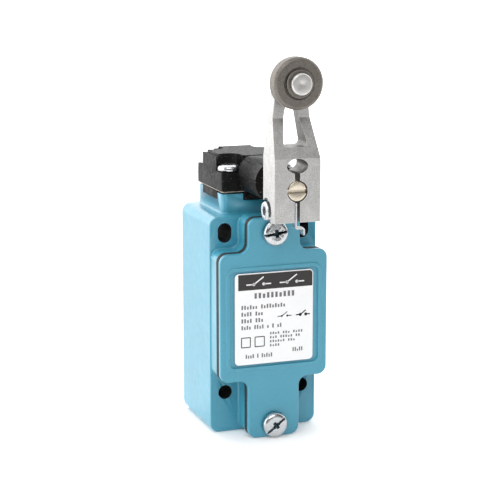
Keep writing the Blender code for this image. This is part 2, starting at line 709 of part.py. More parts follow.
def build_boss():
    """The boss, with a narrow root that stays clear of the corner pockets."""
    root = HEAD_SCREW_PITCH / 2 - HEAD_POCKET_RADIUS - EDGE_INSET
    step = OVERLAP - 2 * EDGE_INSET
    length = OVERLAP + BOSS_LENGTH
    profile = [(0, 0), (root, 0), (root, step), (BOSS_RADIUS, step), (BOSS_RADIUS, length), (0, length)]
    return turned("boss", profile, (0, HEAD_FRONT + OVERLAP, SHAFT_Z), FORWARD)


def build_fairing():
    """The cone round the boss's root, kept within the head's height."""
    length = BOSS_CONE_LENGTH + EDGE_INSET
    small_end = BOSS_RADIUS - EDGE_INSET
    taper = (BOSS_BASE_RADIUS - small_end) / BOSS_CONE_LENGTH
    profile = [(0, 0), (BOSS_BASE_RADIUS + taper * EDGE_INSET, 0), (small_end, length), (0, length)]
    fairing = turned("fairing", profile, (0, HEAD_FRONT + EDGE_INSET, SHAFT_Z), FORWARD)
    reach = 2 * BOSS_BASE_RADIUS
    ends = (HEAD_FRONT - length, HEAD_FRONT + OVERLAP)
    top = HEAD_TOP + HEAD_PAD_HEIGHT - EDGE_INSET
    bottom = HEAD_BOTTOM + EDGE_INSET
    cut(fairing, box("above_fairing", (-reach, ends[0], top), (reach, ends[1], top + reach)))
    cut(fairing, box("below_fairing", (-reach, ends[0], bottom - reach), (reach, ends[1], bottom)))
    return fairing


def build_head(finish):
    half = HEAD_SIDE / 2
    outline = rectangle(-half, half, HEAD_Y - half, HEAD_Y + half, HEAD_CORNER)
    head = prism("head", outline, "Z", HEAD_BOTTOM, HEAD_TOP, finish)
    pad = HEAD_PAD_SIDE / 2
    pad_outline = rectangle(-pad, pad, HEAD_Y - pad, HEAD_Y + pad, HEAD_PAD_CORNER)
    join(head, prism("head_pad", pad_outline, "Z", HEAD_TOP - OVERLAP, HEAD_TOP + HEAD_PAD_HEIGHT))
    join(head, *key_boxes("key", HEAD_BOTTOM + OVERLAP, 0))
    for sign_x in (-1, 1):
        for sign_y in (-1, 1):
            pocket = head_pocket_outline(sign_x, sign_y)
            top = HEAD_TOP + HEAD_PAD_HEIGHT + OVERLAP
            cut(head, prism(f"head_pocket_{sign_x}_{sign_y}", pocket, "Z", HEAD_POCKET_FLOOR, top))
    join(head, build_boss(), build_fairing())
    for name, x, y in head_screw_places():
        length = HEAD_POCKET_FLOOR - HEAD_BOTTOM + 2 * OVERLAP
        radius = HEAD_SCREW_RADIUS + FIT
        base = (x, y, HEAD_BOTTOM - OVERLAP)
        cut(head, rod(f"head_hole_{name}", radius, length, base, UP, steps=SMALL_STEPS))
    cap_length = SHAFT_Z - HEAD_BOTTOM
    base = (0, HEAD_Y, HEAD_BOTTOM - OVERLAP)
    cut(head, rod("cap_bore", PLUNGER_CAP_RADIUS + FIT, cap_length, base, UP))
    bore_back = CAM_BACK + FIT
    bore_length = bore_back - BOSS_Y + OVERLAP
    cut(head, rod("head_bore", BORE_RADIUS, bore_length, (0, bore_back, SHAFT_Z), FORWARD))
    journal_length = CAM_JOURNAL_LENGTH + OVERLAP
    journal_back = (0, bore_back + CAM_JOURNAL_LENGTH, SHAFT_Z)
    cut(head, rod("journal_bore", CAM_JOURNAL_RADIUS + FIT, journal_length, journal_back, FORWARD))


def build_head_screws(finish):
    length = HEAD_SCREW_LENGTH - 2 * FIT
    screw = screw_mesh(
        "head_screw", HEAD_SCREW_RADIUS, length, HEAD_SCREW_HEAD, HEAD_SCREW_HEIGHT, "cross", finish
    )
    places = [
        (f"head_screw_{name}", (x, y, HEAD_POCKET_FLOOR + FIT)) for name, x, y in head_screw_places()
    ]
    place_screws(applied_mesh(screw), places, UP)


def build_bearing(bush_finish, seal_finish):
    inner = SHAFT_RADIUS + FIT
    outer = BORE_RADIUS - FIT
    ring("shaft_bush", inner, outer, BUSH_LENGTH, (0, BUSH_BACK, SHAFT_Z), FORWARD, bush_finish)
    ring("shaft_seal", inner, outer, SEAL_LENGTH, (0, SEAL_BACK, SHAFT_Z), FORWARD, seal_finish)


# Shaft, cam and lever


def build_shaft(finish):
    """Slotted in front for a screwdriver, grooved for its ring, with a tang behind that turns the cam."""
    length = SHAFT_BACK - SHAFT_FRONT
    groove_near = SHAFT_BACK - (RING_FRONT + RING_THICKNESS + FIT)
    groove_far = SHAFT_BACK - (RING_FRONT - FIT)
    groove_radius = SHAFT_RADIUS - RING_GROOVE
    profile = [
        (0, 0),
        (SHAFT_RADIUS, 0),
        (SHAFT_RADIUS, groove_near),
        (groove_radius, groove_near),
        (groove_radius, groove_far),
        (SHAFT_RADIUS, groove_far),
        (SHAFT_RADIUS, length),
        (0, length),
    ]
    shaft = turned("shaft", profile, (0, SHAFT_BACK, SHAFT_Z), FORWARD, finish)
    half = TANG_THICKNESS / 2
    wide = SHAFT_RADIUS - 2 * FIT
    low = (-wide, SHAFT_BACK - OVERLAP, SHAFT_Z - half)
    high = (wide, SHAFT_BACK + TANG_LENGTH, SHAFT_Z + half)
    join(shaft, box("tang", low, high))
    half = SHAFT_SLOT_WIDTH / 2
    reach = SHAFT_RADIUS + OVERLAP
    low = (-reach, SHAFT_FRONT - OVERLAP, SHAFT_Z - half)
    high = (reach, SHAFT_FRONT + SHAFT_SLOT_DEPTH, SHAFT_Z + half)
    cut(shaft, box("driver_slot", low, high))
    return shaft


def build_shaft_ring(finish):
    inner = SHAFT_RADIUS - RING_GROOVE + FIT
    back = RING_FRONT + RING_THICKNESS
    made = ring("shaft_ring", inner, BORE_RADIUS - FIT, RING_THICKNESS, (0, back, SHAFT_Z), FORWARD, finish)
    gap = SHAFT_RADIUS * 0.6
    low = (-gap, RING_FRONT - OVERLAP, SHAFT_Z)
    high = (gap, back + OVERLAP, SHAFT_Z + BORE_RADIUS)
    cut(made, box("ring_gap", low, high))
    return made


def build_cam(finish):
    """A drum with a flat over the plunger, a slot in front for the shaft's tang and a journal behind."""
    journal_end = CAM_LENGTH + CAM_JOURNAL_LENGTH - FIT
    profile = [
        (0, 0),
        (CAM_RADIUS, 0),
        (CAM_RADIUS, CAM_LENGTH),
        (CAM_JOURNAL_RADIUS, CAM_LENGTH),
        (CAM_JOURNAL_RADIUS, journal_end),
        (0, journal_end),
    ]
    cam = turned("cam", profile, (0, CAM_FRONT, SHAFT_Z), -FORWARD, finish)
    reach = CAM_RADIUS + OVERLAP
    flat_half = PLUNGER_CAP_RADIUS + FIT
    low = (-reach, HEAD_Y - flat_half, SHAFT_Z - reach)
    high = (reach, HEAD_Y + flat_half, CAM_FLAT_Z)
    cut(cam, box("cam_flat", low, high))
    half = TANG_THICKNESS / 2 + FIT
    low = (-reach, CAM_FRONT - OVERLAP, SHAFT_Z - half)
    high = (reach, SHAFT_BACK + TANG_LENGTH + FIT, SHAFT_Z + half)
    cut(cam, box("cam_slot", low, high))
    return cam


def lever_outline():
    """The lever from the front: a block below, tapering sides and a round end about the roller's axis."""
    half = BLOCK_WIDTH / 2
    drop = ROLLER_Z - BLOCK_TOP
    start = math.atan2(-drop, half) + math.acos(ARM_END_RADIUS / math.hypot(half, drop))
    steps = 4 * CORNER_STEPS
    angles = [start + (math.pi - 2 * start) * step / steps for step in range(steps + 1)]
    end = [
        Vector((ARM_END_RADIUS * math.cos(a), ROLLER_Z + ARM_END_RADIUS * math.sin(a))) for a in angles
    ]
    right = [Vector((half, BLOCK_BOTTOM)), Vector((half, BLOCK_TOP))]
    left = [Vector((-half, BLOCK_TOP)), Vector((-half, BLOCK_BOTTOM))]
    return right + end + left


def build_lever(finish):
    lever = prism("lever_arm", lever_outline(), "Y", LEVER_FRONT, LEVER_BACK, finish)
    top = ROLLER_Z + ARM_END_RADIUS + OVERLAP
    front = LEVER_FRONT - OVERLAP
    slope = [
        (front, BLOCK_TOP),
        (LEVER_FRONT, BLOCK_TOP),
        (ARM_FRONT, SLOPE_TOP),
        (ARM_FRONT, top),
        (front, top),
    ]
    reach = BLOCK_WIDTH / 2 + OVERLAP
    back = LEVER_BACK + OVERLAP
    cut(lever, prism("lever_slope", slope, "X", -reach, reach))
    window_low = SHAFT_Z + WINDOW_BOTTOM
    window_high = SHAFT_Z + WINDOW_TOP
    wide = WINDOW_WIDE / 2
    narrow = WINDOW_NARROW / 2
    corners = [(-wide, window_low), (wide, window_low), (narrow, window_high), (-narrow, window_high)]
    window = rounded([(u, v, WINDOW_CORNER) for u, v in corners])
    cut(lever, prism("lever_window", window, "Y", front, back))
    cut(lever, rod("lever_bore", SHAFT_RADIUS + FIT, back - front, (0, back, SHAFT_Z), FORWARD))
    oval_z = SHAFT_Z + OVAL_ABOVE
    oval = ellipse(0, oval_z, OVAL_WIDTH / 2, OVAL_HEIGHT / 2)
    cut(lever, prism("lever_oval", oval, "Y", front, back))
    half = SLIT_WIDTH / 2
    cut(lever, box("lever_slit", (-half, front, BLOCK_BOTTOM - OVERLAP), (half, back, oval_z)))
    cut(lever, rod("pin_hole", PIN_RADIUS + FIT, back - front, (0, back, ROLLER_Z), FORWARD))
    seat_x = CLAMP_SEAT_DEPTH - BLOCK_WIDTH / 2
    seat_length = CLAMP_SEAT_DEPTH + OVERLAP
    cut(lever, rod("clamp_seat", CLAMP_SEAT_RADIUS, seat_length, (seat_x, CLAMP_Y, CLAMP_Z), LEFT))
    hole_end = CLAMP_TIP + FIT
    hole_length = hole_end - seat_x + OVERLAP
    cut(lever, rod("clamp_hole", CLAMP_RADIUS + FIT, hole_length, (hole_end, CLAMP_Y, CLAMP_Z), LEFT))
    return lever


def build_clamp_screw(finish):
    seat = CLAMP_SEAT_DEPTH - BLOCK_WIDTH / 2 - FIT
    shank = CLAMP_TIP - seat
    full = shank + CLAMP_HEAD_HEIGHT
    edge = CLAMP_HEAD_CHAMFER
    profile = [
        (0, 0),
        (CLAMP_RADIUS, 0),
        (CLAMP_RADIUS, shank),
        (CLAMP_HEAD_RADIUS, shank),
        (CLAMP_HEAD_RADIUS, full - edge),
        (CLAMP_HEAD_RADIUS - edge, full),
        (0, full),
    ]
    screw = turned("lever_clamp_screw", profile, (CLAMP_TIP, CLAMP_Y, CLAMP_Z), LEFT, finish)
    face = seat - CLAMP_HEAD_HEIGHT
    corner = CLAMP_HEX / math.sqrt(3)
    socket = ellipse(CLAMP_Y, CLAMP_Z, corner, corner, steps=6)
    depth = CLAMP_HEAD_HEIGHT * 0.8
    cut(screw, prism("hex_socket", socket, "X", face - OVERLAP, face + depth))
    return screw


def build_clip(finish):
    """A strip that hangs in the slit, turns to the right under the block and ends in a short hook."""
    right = CLIP_LEFT + CLIP_THICKNESS
    outer = CLIP_BEND
    inner = CLIP_BEND - CLIP_THICKNESS
    hook_left = CLIP_REACH - CLIP_THICKNESS
    outline = rounded(
        [
            (CLIP_LEFT, CLIP_TOP, 0),
            (CLIP_LEFT, CLIP_FOOT, outer),
            (hook_left, CLIP_FOOT, inner),
            (hook_left, CLIP_FOOT - CLIP_HOOK, 0),
            (CLIP_REACH, CLIP_FOOT - CLIP_HOOK, 0),
            (CLIP_REACH, CLIP_FOOT + CLIP_THICKNESS, outer),
            (right, CLIP_FOOT + CLIP_THICKNESS, inner),
            (right, CLIP_TOP, 0),
        ]
    )
    back = CLAMP_Y + CLAMP_RADIUS + 2 * FIT
    clip = prism("lever_clip", outline, "Y", LEVER_FRONT + FIT, back, finish)
    hole = rod("clip_hole", CLAMP_RADIUS + FIT, 2 * SLIT_WIDTH, (SLIT_WIDTH, CLAMP_Y, CLAMP_Z), LEFT)
    cut(clip, hole)
    reach = CLIP_REACH + OVERLAP
    low = (-reach, LEVER_FRONT + FIT + CLIP_FOOT_DEPTH, CLIP_FOOT - CLIP_HOOK - OVERLAP)
    high = (reach, back + OVERLAP, BLOCK_BOTTOM - FIT)
    cut(clip, box("behind_foot", low, high))
    return clip


# Roller


def build_roller(finish):
    bore = PIN_RADIUS + FIT
    rim = ROLLER_RADIUS - ROLLER_CHAMFER
    profile = [
        (bore, 0),
        (rim, 0),
        (ROLLER_RADIUS, ROLLER_CHAMFER),
        (ROLLER_RADIUS, ROLLER_WIDTH - ROLLER_CHAMFER),
        (rim, ROLLER_WIDTH),
        (bore, ROLLER_WIDTH),
        (bore, 0),
    ]
    return turned("roller", profile, (0, ROLLER_BACK, ROLLER_Z), FORWARD, finish, 2 * SMALL_STEPS)


def build_roller_pin(finish):
    """A rivet: tail behind the arm, shank through it and the roller, and a large head in front."""
    tail_back = LEVER_BACK + FIT + PIN_TAIL_HEIGHT
    head = tail_back - PIN_HEAD_BACK
    face = head + PIN_HEAD_HEIGHT
    profile = [
        (0, 0),
        (PIN_TAIL_RADIUS, 0),
        (PIN_TAIL_RADIUS, PIN_TAIL_HEIGHT),
        (PIN_RADIUS, PIN_TAIL_HEIGHT),
        (PIN_RADIUS, head),
        (PIN_HEAD_RADIUS, head),
        (PIN_HEAD_RADIUS, face - PIN_HEAD_CHAMFER),
        (PIN_HEAD_RADIUS - PIN_HEAD_CHAMFER, face),
        (0, face),
    ]
    return turned("roller_pin", profile, (0, tail_back, ROLLER_Z), FORWARD, finish)


def build_roller_washers(finish):
    bore = PIN_RADIUS + FIT
    spacer = ring(
        "roller_spacer", bore, WASHER_RADIUS, SPACER_THICKNESS, (0, SPACER_BACK, ROLLER_Z), FORWARD, finish
    )
    washer = ring(
        "roller_washer", bore, WASHER_RADIUS, WASHER_THICKNESS, (0, WASHER_BACK, ROLLER_Z), FORWARD, finish
    )
    return spacer, washer


# Plunger


def build_plunger(finish):
    length = PLUNGER_CAP_BOTTOM - PLUNGER_BOTTOM
    profile = [
        (0, 0),
        (PLUNGER_STEM_RADIUS, 0),
        (PLUNGER_STEM_RADIUS, length),
        (PLUNGER_CAP_RADIUS, length),
        (PLUNGER_CAP_RADIUS, length + PLUNGER_CAP_HEIGHT),
        (0, length + PLUNGER_CAP_HEIGHT),
    ]
    return turned("follower_plunger", profile, (0, HEAD_Y, PLUNGER_BOTTOM), UP, finish, SMALL_STEPS)


def build_plunger_guide(finish):
    inner = PLUNGER_STEM_RADIUS + FIT
    centre = (0, HEAD_Y, GUIDE_BOTTOM)
    ring("plunger_guide", inner, NECK_BORE - FIT, GUIDE_LENGTH, centre, UP, finish, SMALL_STEPS)


def build_plunger_spring(finish):
    low = GUIDE_TOP + FIT
    high = PLUNGER_CAP_BOTTOM - FIT
    return helix("plunger_spring", PLUNGER_SPRING_RADIUS, low, high, PLUNGER_SPRING_TURNS, finish)


# Switch block


def terminals():
    """Name, side, strip height and direction of the terminal tab, for the four fixed contacts."""
    return [
        ("upper_left", -1, UPPER_STRIP_Z, 1),
        ("upper_right", 1, UPPER_STRIP_Z, 1),
        ("lower_left", -1, LOWER_STRIP_Z, -1),
        ("lower_right", 1, LOWER_STRIP_Z, -1),
    ]


def tab_span(strip_z, direction):
    """The lowest and highest point of a terminal tab that starts at a strip."""
    if direction > 0:
        return strip_z, strip_z + TERMINAL_HEIGHT
    top = strip_z + STRIP_THICKNESS
    return top - TERMINAL_HEIGHT, top


def terminal_screw_hole(name, side, strip_z, direction, front, length):
    low, high = tab_span(strip_z, direction)
    centre = (side * TERMINAL_SCREW_X, front + length, (low + high) / 2)
    return rod(name, TERMINAL_SCREW_RADIUS + FIT, length, centre, FORWARD, steps=SMALL_STEPS)


def switch_screw_places():
    return [(-SWITCH_SCREW_X, SWITCH_SCREW_Z), (SWITCH_SCREW_X, SWITCH_SCREW_Z)]


def build_switch_base(finish):
    half = SWITCH_WIDTH / 2
    base = box("switch_base", (-half, SWITCH_FRONT, SWITCH_BOTTOM), (half, SWITCH_BACK, SWITCH_TOP), finish)
    channel = CHANNEL_WIDTH / 2
    pocket = TERMINAL_OUTER + FIT
    front = SWITCH_FRONT - OVERLAP
    recess = [
        (-pocket, front),
        (pocket, front),
        (pocket, SHELF_Y),
        (channel, SHELF_Y),
        (channel, CHANNEL_BACK),
        (-channel, CHANNEL_BACK),
        (-channel, SHELF_Y),
        (-pocket, SHELF_Y),
    ]
    cut(base, prism("switch_recess", recess, "Z", CHANNEL_BOTTOM, CHANNEL_TOP))
    guide = (0, HEAD_Y, CHANNEL_TOP - OVERLAP)
    guide_length = SWITCH_TOP - CHANNEL_TOP + 2 * OVERLAP
    cut(base, rod("button_guide", BUTTON_RADIUS + FIT, guide_length, guide, UP, steps=SMALL_STEPS))
    for name, side, strip_z, direction in terminals():
        depth = SHELF_DEPTH + OVERLAP
        cut(base, terminal_screw_hole(f"shelf_{name}", side, strip_z, direction, SHELF_Y - OVERLAP, depth))
    for index, (x, z) in enumerate(switch_screw_places()):
        length = SWITCH_DEPTH + 2 * OVERLAP
        radius = SWITCH_SCREW_RADIUS + FIT
        centre = (x, SWITCH_BACK + OVERLAP, z)
        cut(base, rod(f"base_hole_{index}", radius, length, centre, FORWARD, steps=SMALL_STEPS))


def build_switch_lid(finish):
    half = CHANNEL_WIDTH / 2 - FIT
    front = SWITCH_FRONT - FIT - LID_THICKNESS
    outline = rectangle(-half, half, SWITCH_BOTTOM, SWITCH_TOP, LID_CORNER)
    prism("switch_lid", outline, "Y", front, SWITCH_FRONT - FIT, finish)


def build_button(finish):
    """The contact carrier: a round button above and a bar with a window for each bridge."""
    length = BUTTON_TOP - CARRIER_TOP + OVERLAP
    base = (0, HEAD_Y, CARRIER_TOP - OVERLAP)
    button = rod("switch_button", BUTTON_RADIUS, length, base, UP, finish, SMALL_STEPS)
    half_x = CARRIER_WIDTH / 2
    half_y = CARRIER_DEPTH / 2
    low = (-half_x, HEAD_Y - half_y, CARRIER_BOTTOM)
    high = (half_x, HEAD_Y + half_y, CARRIER_TOP)
    join(button, box("carrier", low, high))
    half_y = BRIDGE_DEPTH / 2 + FIT
    reach = half_x + OVERLAP
    for name, z in bridge_heights():
        low = (-reach, HEAD_Y - half_y, z - FIT)
        high = (reach, HEAD_Y + half_y, z + STRIP_THICKNESS + FIT)
        cut(button, box(f"window_{name}", low, high))
    return button


def bridge_heights():
    return [("upper", UPPER_BRIDGE_Z), ("lower", LOWER_BRIDGE_Z)]


def build_bridges(finish):
    half_x = BRIDGE_WIDTH / 2
    half_y = BRIDGE_DEPTH / 2
    return [
        box(
            f"contact_bridge_{name}",
            (-half_x, HEAD_Y - half_y, z),
            (half_x, HEAD_Y + half_y, z + STRIP_THICKNESS),
            finish,
        )
        for name, z in bridge_heights()
    ]


def build_contact_spring(finish):
    low = CHANNEL_BOTTOM + FIT
    high = CARRIER_BOTTOM - FIT
    return helix("contact_spring", CONTACT_SPRING_RADIUS, low, high, CONTACT_SPRING_TURNS, finish)


def build_fixed_contacts(finish):
    """Each one is a strip from the bridge to the front, joined to an upright tab for the terminal screw."""
    tab_back = SHELF_Y - FIT
    tab_front = tab_back - STRIP_THICKNESS
    strip_inner = CARRIER_WIDTH / 2 + STRIP_GAP
    strip_outer = CHANNEL_WIDTH / 2 - FIT
    for name, side, strip_z, direction in terminals():
        low_z, high_z = tab_span(strip_z, direction)
        across = sorted((side * (strip_outer - STRIP_THICKNESS), side * TERMINAL_OUTER))
        contact = box(
            f"fixed_contact_{name}", (across[0], tab_front, low_z), (across[1], tab_back, high_z), finish
        )
        across = sorted((side * strip_inner, side * strip_outer))
        strip_back = HEAD_Y + BRIDGE_DEPTH / 2
        low = (across[0], tab_front, strip_z)
        high = (across[1], strip_back, strip_z + STRIP_THICKNESS)
        join(contact, box(f"strip_{name}", low, high))
        length = STRIP_THICKNESS + 2 * OVERLAP
        front = tab_front - OVERLAP
        cut(contact, terminal_screw_hole(f"tab_{name}", side, strip_z, direction, front, length))


def build_switch_screws(finish):
    length = SHELF_DEPTH
    terminal = screw_mesh(
        "terminal", TERMINAL_SCREW_RADIUS, length, TERMINAL_SCREW_HEAD, SMALL_HEAD_HEIGHT, "cross", finish
    )
    seat = SHELF_Y - 2 * FIT - STRIP_THICKNESS
    places = []
    for name, side, strip_z, direction in terminals():
        middle = sum(tab_span(strip_z, direction)) / 2
        places.append((f"terminal_screw_{name}", (side * TERMINAL_SCREW_X, seat, middle)))
    place_screws(applied_mesh(terminal), places, FORWARD)
    seat = SWITCH_FRONT - FIT
    length = SWITCH_DEPTH + SWITCH_BACK_GAP + SWITCH_SCREW_BITE
    mounting = screw_mesh(
        "mounting", SWITCH_SCREW_RADIUS, length, SWITCH_SCREW_HEAD, SMALL_HEAD_HEIGHT, "cross", finish
    )
    sides = zip(("left", "right"), switch_screw_places())
    places = [(f"switch_screw_{side}", (x, seat, z)) for side, (x, z) in sides]
    place_screws(applied_mesh(mounting), places, FORWARD)


# Assembly


def build_limit_switch():
    blue = material("blue_paint", (0.10, 0.37, 0.49), 0.4, 0.0)
    black = material("black_plastic", (0.012, 0.012, 0.012), 0.5, 0.0)
    rubber = material("black_rubber", (0.02, 0.018, 0.016), 0.8, 0.0)
    label = material("label_white", (0.85, 0.86, 0.87), 0.4, 0.0)
    zinc = material("zinc", (0.75, 0.78, 0.80), 0.25, 1.0)
    cast = material("cast_alloy", (0.62, 0.61, 0.59), 0.5, 0.9)
    sintered = material("sintered_steel", (0.23, 0.20, 0.17), 0.45, 0.9)
    brass = material("pale_brass", (0.72, 0.62, 0.46), 0.3, 1.0)
    bronze = material("bronze", (0.50, 0.33, 0.15), 0.4, 1.0)
    gasket_card = material("gasket_card", (0.55, 0.48, 0.38), 0.9, 0.0)
    moulding = material("grey_moulding", (0.30, 0.30, 0.31), 0.5, 0.0)

    build_housing(blue)
    build_cover_gasket(rubber)
    build_cover(blue)
    build_nameplate(label)
    build_cover_screws(zinc)
    build_earth_screw(zinc)
    build_head_gasket(gasket_card)
    build_head(black)
    build_head_screws(zinc)
    build_bearing(bronze, rubber)
    build_plunger_guide(moulding)
    build_switch_base(moulding)
    build_switch_lid(moulding)
    build_fixed_contacts(brass)
    build_switch_screws(zinc)

    lever_pivot = pivot("lever_pivot", Vector((0, LEVER_BACK, SHAFT_Z)))
    hang(
        lever_pivot,
        build_shaft(brass),
        build_shaft_ring(zinc),
        build_cam(cast),
        build_lever(cast),
        build_clamp_screw(zinc),
        build_clip(zinc),
        build_roller_pin(zinc),
        *build_roller_washers(zinc),
    )
    hang(pivot("roller_pivot", Vector((0, ROLLER_BACK, ROLLER_Z))), build_roller(sintered))
    plunger_pivot = pivot("plunger_pivot", Vector((0, HEAD_Y, PLUNGER_TOP)))
    hang(plunger_pivot, build_plunger(moulding), build_plunger_spring(zinc))
    carrier_pivot = pivot("carrier_pivot", Vector((0, HEAD_Y, BUTTON_TOP)))
    hang(carrier_pivot, build_button(black), build_contact_spring(zinc), *build_bridges(brass))


def clear_scene():
    for found in list(bpy.data.objects):
        bpy.data.objects.remove(found)


clear_scene()
build_limit_switch()
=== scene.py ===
"""Looks for the limit switch: detailed cast, moulded and plated pieces on the frame, and a studio."""

import json
import math

import bmesh
import bpy
from mathutils import Matrix, Vector


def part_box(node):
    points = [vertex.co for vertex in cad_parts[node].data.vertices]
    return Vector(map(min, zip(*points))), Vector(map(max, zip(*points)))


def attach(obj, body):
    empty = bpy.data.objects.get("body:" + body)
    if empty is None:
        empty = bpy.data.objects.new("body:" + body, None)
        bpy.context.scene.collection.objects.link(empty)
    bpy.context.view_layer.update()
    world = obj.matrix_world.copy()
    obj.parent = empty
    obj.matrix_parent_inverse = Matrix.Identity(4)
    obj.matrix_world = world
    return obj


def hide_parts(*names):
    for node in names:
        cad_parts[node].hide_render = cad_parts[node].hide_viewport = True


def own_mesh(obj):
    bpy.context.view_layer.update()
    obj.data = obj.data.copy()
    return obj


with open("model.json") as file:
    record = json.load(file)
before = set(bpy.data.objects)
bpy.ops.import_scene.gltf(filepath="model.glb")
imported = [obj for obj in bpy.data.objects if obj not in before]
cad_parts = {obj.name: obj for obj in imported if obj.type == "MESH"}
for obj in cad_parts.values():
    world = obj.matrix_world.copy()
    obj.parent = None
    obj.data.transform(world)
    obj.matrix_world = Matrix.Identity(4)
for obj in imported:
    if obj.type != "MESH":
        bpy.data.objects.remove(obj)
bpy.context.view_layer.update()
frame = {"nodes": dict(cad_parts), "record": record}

MM = 0.001
OVERLAP = 1.0 * MM  # how far joined shapes run into each other, and cutters past a face
EDGE_INSET = 0.1 * MM  # how far a joined shape's own faces stay off its neighbour's
ROUND_STEPS = 64
CORNER_STEPS = 8
SHARP_ANGLE = math.radians(40)

FORWARD = Vector((0, -1, 0))
LEFT = Vector((-1, 0, 0))
RIGHT = Vector((1, 0, 0))
UP = Vector((0, 0, 1))


# Places and sizes from the frame


def middle(node):
    low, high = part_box(node)
    return (low + high) / 2


HOUSING_LOW, HOUSING_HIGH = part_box("housing")
COVER_LOW, COVER_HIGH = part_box("cover")
PLATE_LOW, PLATE_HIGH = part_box("nameplate")
HEAD_LOW, HEAD_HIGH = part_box("head")
HEAD_GASKET_LOW, HEAD_GASKET_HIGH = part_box("head_gasket")
LEVER_LOW, LEVER_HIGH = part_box("lever_arm")
SHAFT_LOW, SHAFT_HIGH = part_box("shaft")
ROLLER_LOW, ROLLER_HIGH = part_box("roller")
PIN_LOW, PIN_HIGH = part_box("roller_pin")
WASHER_LOW, WASHER_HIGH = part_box("roller_washer")
SPACER_LOW, SPACER_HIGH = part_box("roller_spacer")
CLAMP_LOW, CLAMP_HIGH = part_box("lever_clamp_screw")
SEAL_LOW, SEAL_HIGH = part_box("shaft_seal")

SHAFT_Z = middle("shaft").z
SHAFT_RADIUS = (SHAFT_HIGH.z - SHAFT_LOW.z) / 2
ROLLER_Z = middle("roller").z
ROLLER_RADIUS = (ROLLER_HIGH.z - ROLLER_LOW.z) / 2
PIN_TAIL_RADIUS = (PIN_HIGH.x - PIN_LOW.x) / 2
WASHER_RADIUS = (WASHER_HIGH.x - WASHER_LOW.x) / 2
HALF_WIDTH = HOUSING_HIGH.x
PANEL_HALF = COVER_HIGH.x
HEAD_HALF = HEAD_HIGH.x
HEAD_Y = middle("head_gasket").y
HEAD_FRONT = HEAD_Y - HEAD_HALF
HEAD_BOTTOM = HEAD_GASKET_HIGH.z + 0.3 * MM

# Housing
NECK_HEIGHT = 7.2 * MM
RAISED_DEPTH = 6.8 * MM
RAISED_INSET = 0.3 * MM
WALL = 3.0 * MM
BACK_WALL = 3.5 * MM
BODY_CORNER = 3.4 * MM
BODY_EDGE = 0.5 * MM
ROOT_FILLET = 0.8 * MM
BODY_TOP = HOUSING_HIGH.z - NECK_HEIGHT
RAISED_Y = HOUSING_LOW.y
FLANGE_Y = RAISED_Y + RAISED_DEPTH
MIDDLE_TOP = 24.2 * MM
MIDDLE_BOTTOM = -23.2 * MM
TAB_HALF = 9.85 * MM
PANEL_CORNER = 3.3 * MM
HOLE_PITCH_X = 30.0 * MM
HOLE_PITCH_Z = 60.0 * MM
HOLE_RADIUS = 2.65 * MM
ARC_SHARE = 0.999  # the end arcs of a hole stop just short of meeting
SLOT_LENGTH = 7.3 * MM
NECK_HALF = HEAD_HALF - 0.2 * MM
NECK_CORNER = 2.2 * MM
NECK_BORE = 6.5 * MM
STEM_BORE = 4.0 * MM
ENTRY_RADIUS = 10.1 * MM
ENTRY_Y = -18.5 * MM
GUIDE_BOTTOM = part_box("plunger_guide")[0].z

# Cover and nameplate
GASKET_RIM = 2.6 * MM
RIDGE_HEIGHT = 0.35 * MM
RIDGE_WIDTH = 1.3 * MM
POCKET_MARGIN = 2.0 * MM
POCKET_DEPTH = 0.55 * MM
POCKET_CORNER = 2.2 * MM
PLATE_CORNER = 1.6 * MM
COVER_Y = COVER_LOW.y + RIDGE_HEIGHT
COVER_EDGE = 0.45 * MM

# Head
PAD_HEIGHT = 0.9 * MM
PAD_HALF = HEAD_HALF - 1.4 * MM
PAD_CORNER = 1.0 * MM
CAP_BORE = 3.7 * MM
CAM_ROOM = 9.0 * MM
HEAD_SEAL_CORNER = 3.0 * MM
BEAD_OUTER = HEAD_HALF - 0.05 * MM  # the head seal's pressed-out edge
BEAD_INNER = HEAD_HALF - 0.5 * MM
BEAD_BELOW = 0.22 * MM
BEAD_ABOVE = 0.1 * MM
HEAD_TOP = HEAD_HIGH.z - PAD_HEIGHT
HEAD_CORNER = 0.8 * MM
KEY_THICKNESS = 1.6 * MM
SIDE_KEY_HALF = 8.3 * MM
FRONT_KEY_HALF = 5.9 * MM
SCREW_REACH = HEAD_HALF - 4.1 * MM
HEAD_SCREW_SEAT = HEAD_BOTTOM + 7.0 * MM
POCKET_RADIUS = 4.6 * MM
POCKET_SIDE = 6.5 * MM
BOSS_RADIUS = 7.3 * MM
BOSS_BASE_RADIUS = 8.5 * MM
BOSS_CONE_LENGTH = 9.0 * MM
BOSS_MOUTH_RADIUS = 4.7 * MM

# Lever
BLOCK_HALF = LEVER_HIGH.x
BLOCK_TOP = SHAFT_Z + 11.3 * MM
SLOPE_TOP = BLOCK_TOP + 13.3 * MM
ARM_DEPTH = 4.6 * MM
ARM_END_RADIUS = LEVER_HIGH.z - ROLLER_Z
LEVER_EDGE = 0.45 * MM
WINDOW_BOTTOM = SHAFT_Z + 15.0 * MM
WINDOW_TOP = SHAFT_Z + 30.5 * MM
WINDOW_WIDE = 4.6 * MM
WINDOW_NARROW = 1.8 * MM
WINDOW_CORNER = 1.615 * MM
SLIT_HALF = 1.0 * MM
OVAL_Z = SHAFT_Z + 8.7 * MM
OVAL_HALF_WIDTH = 3.9 * MM
OVAL_HALF_HEIGHT = 2.6 * MM
CLAMP_Y = middle("lever_clamp_screw").y
CLAMP_Z = middle("lever_clamp_screw").z
CLAMP_RADIUS = 2.0 * MM
CLAMP_HEAD_RADIUS = (CLAMP_HIGH.z - CLAMP_LOW.z) / 2
CLAMP_HEAD_HEIGHT = 2.2 * MM
CLAMP_HEX = 3.0 * MM
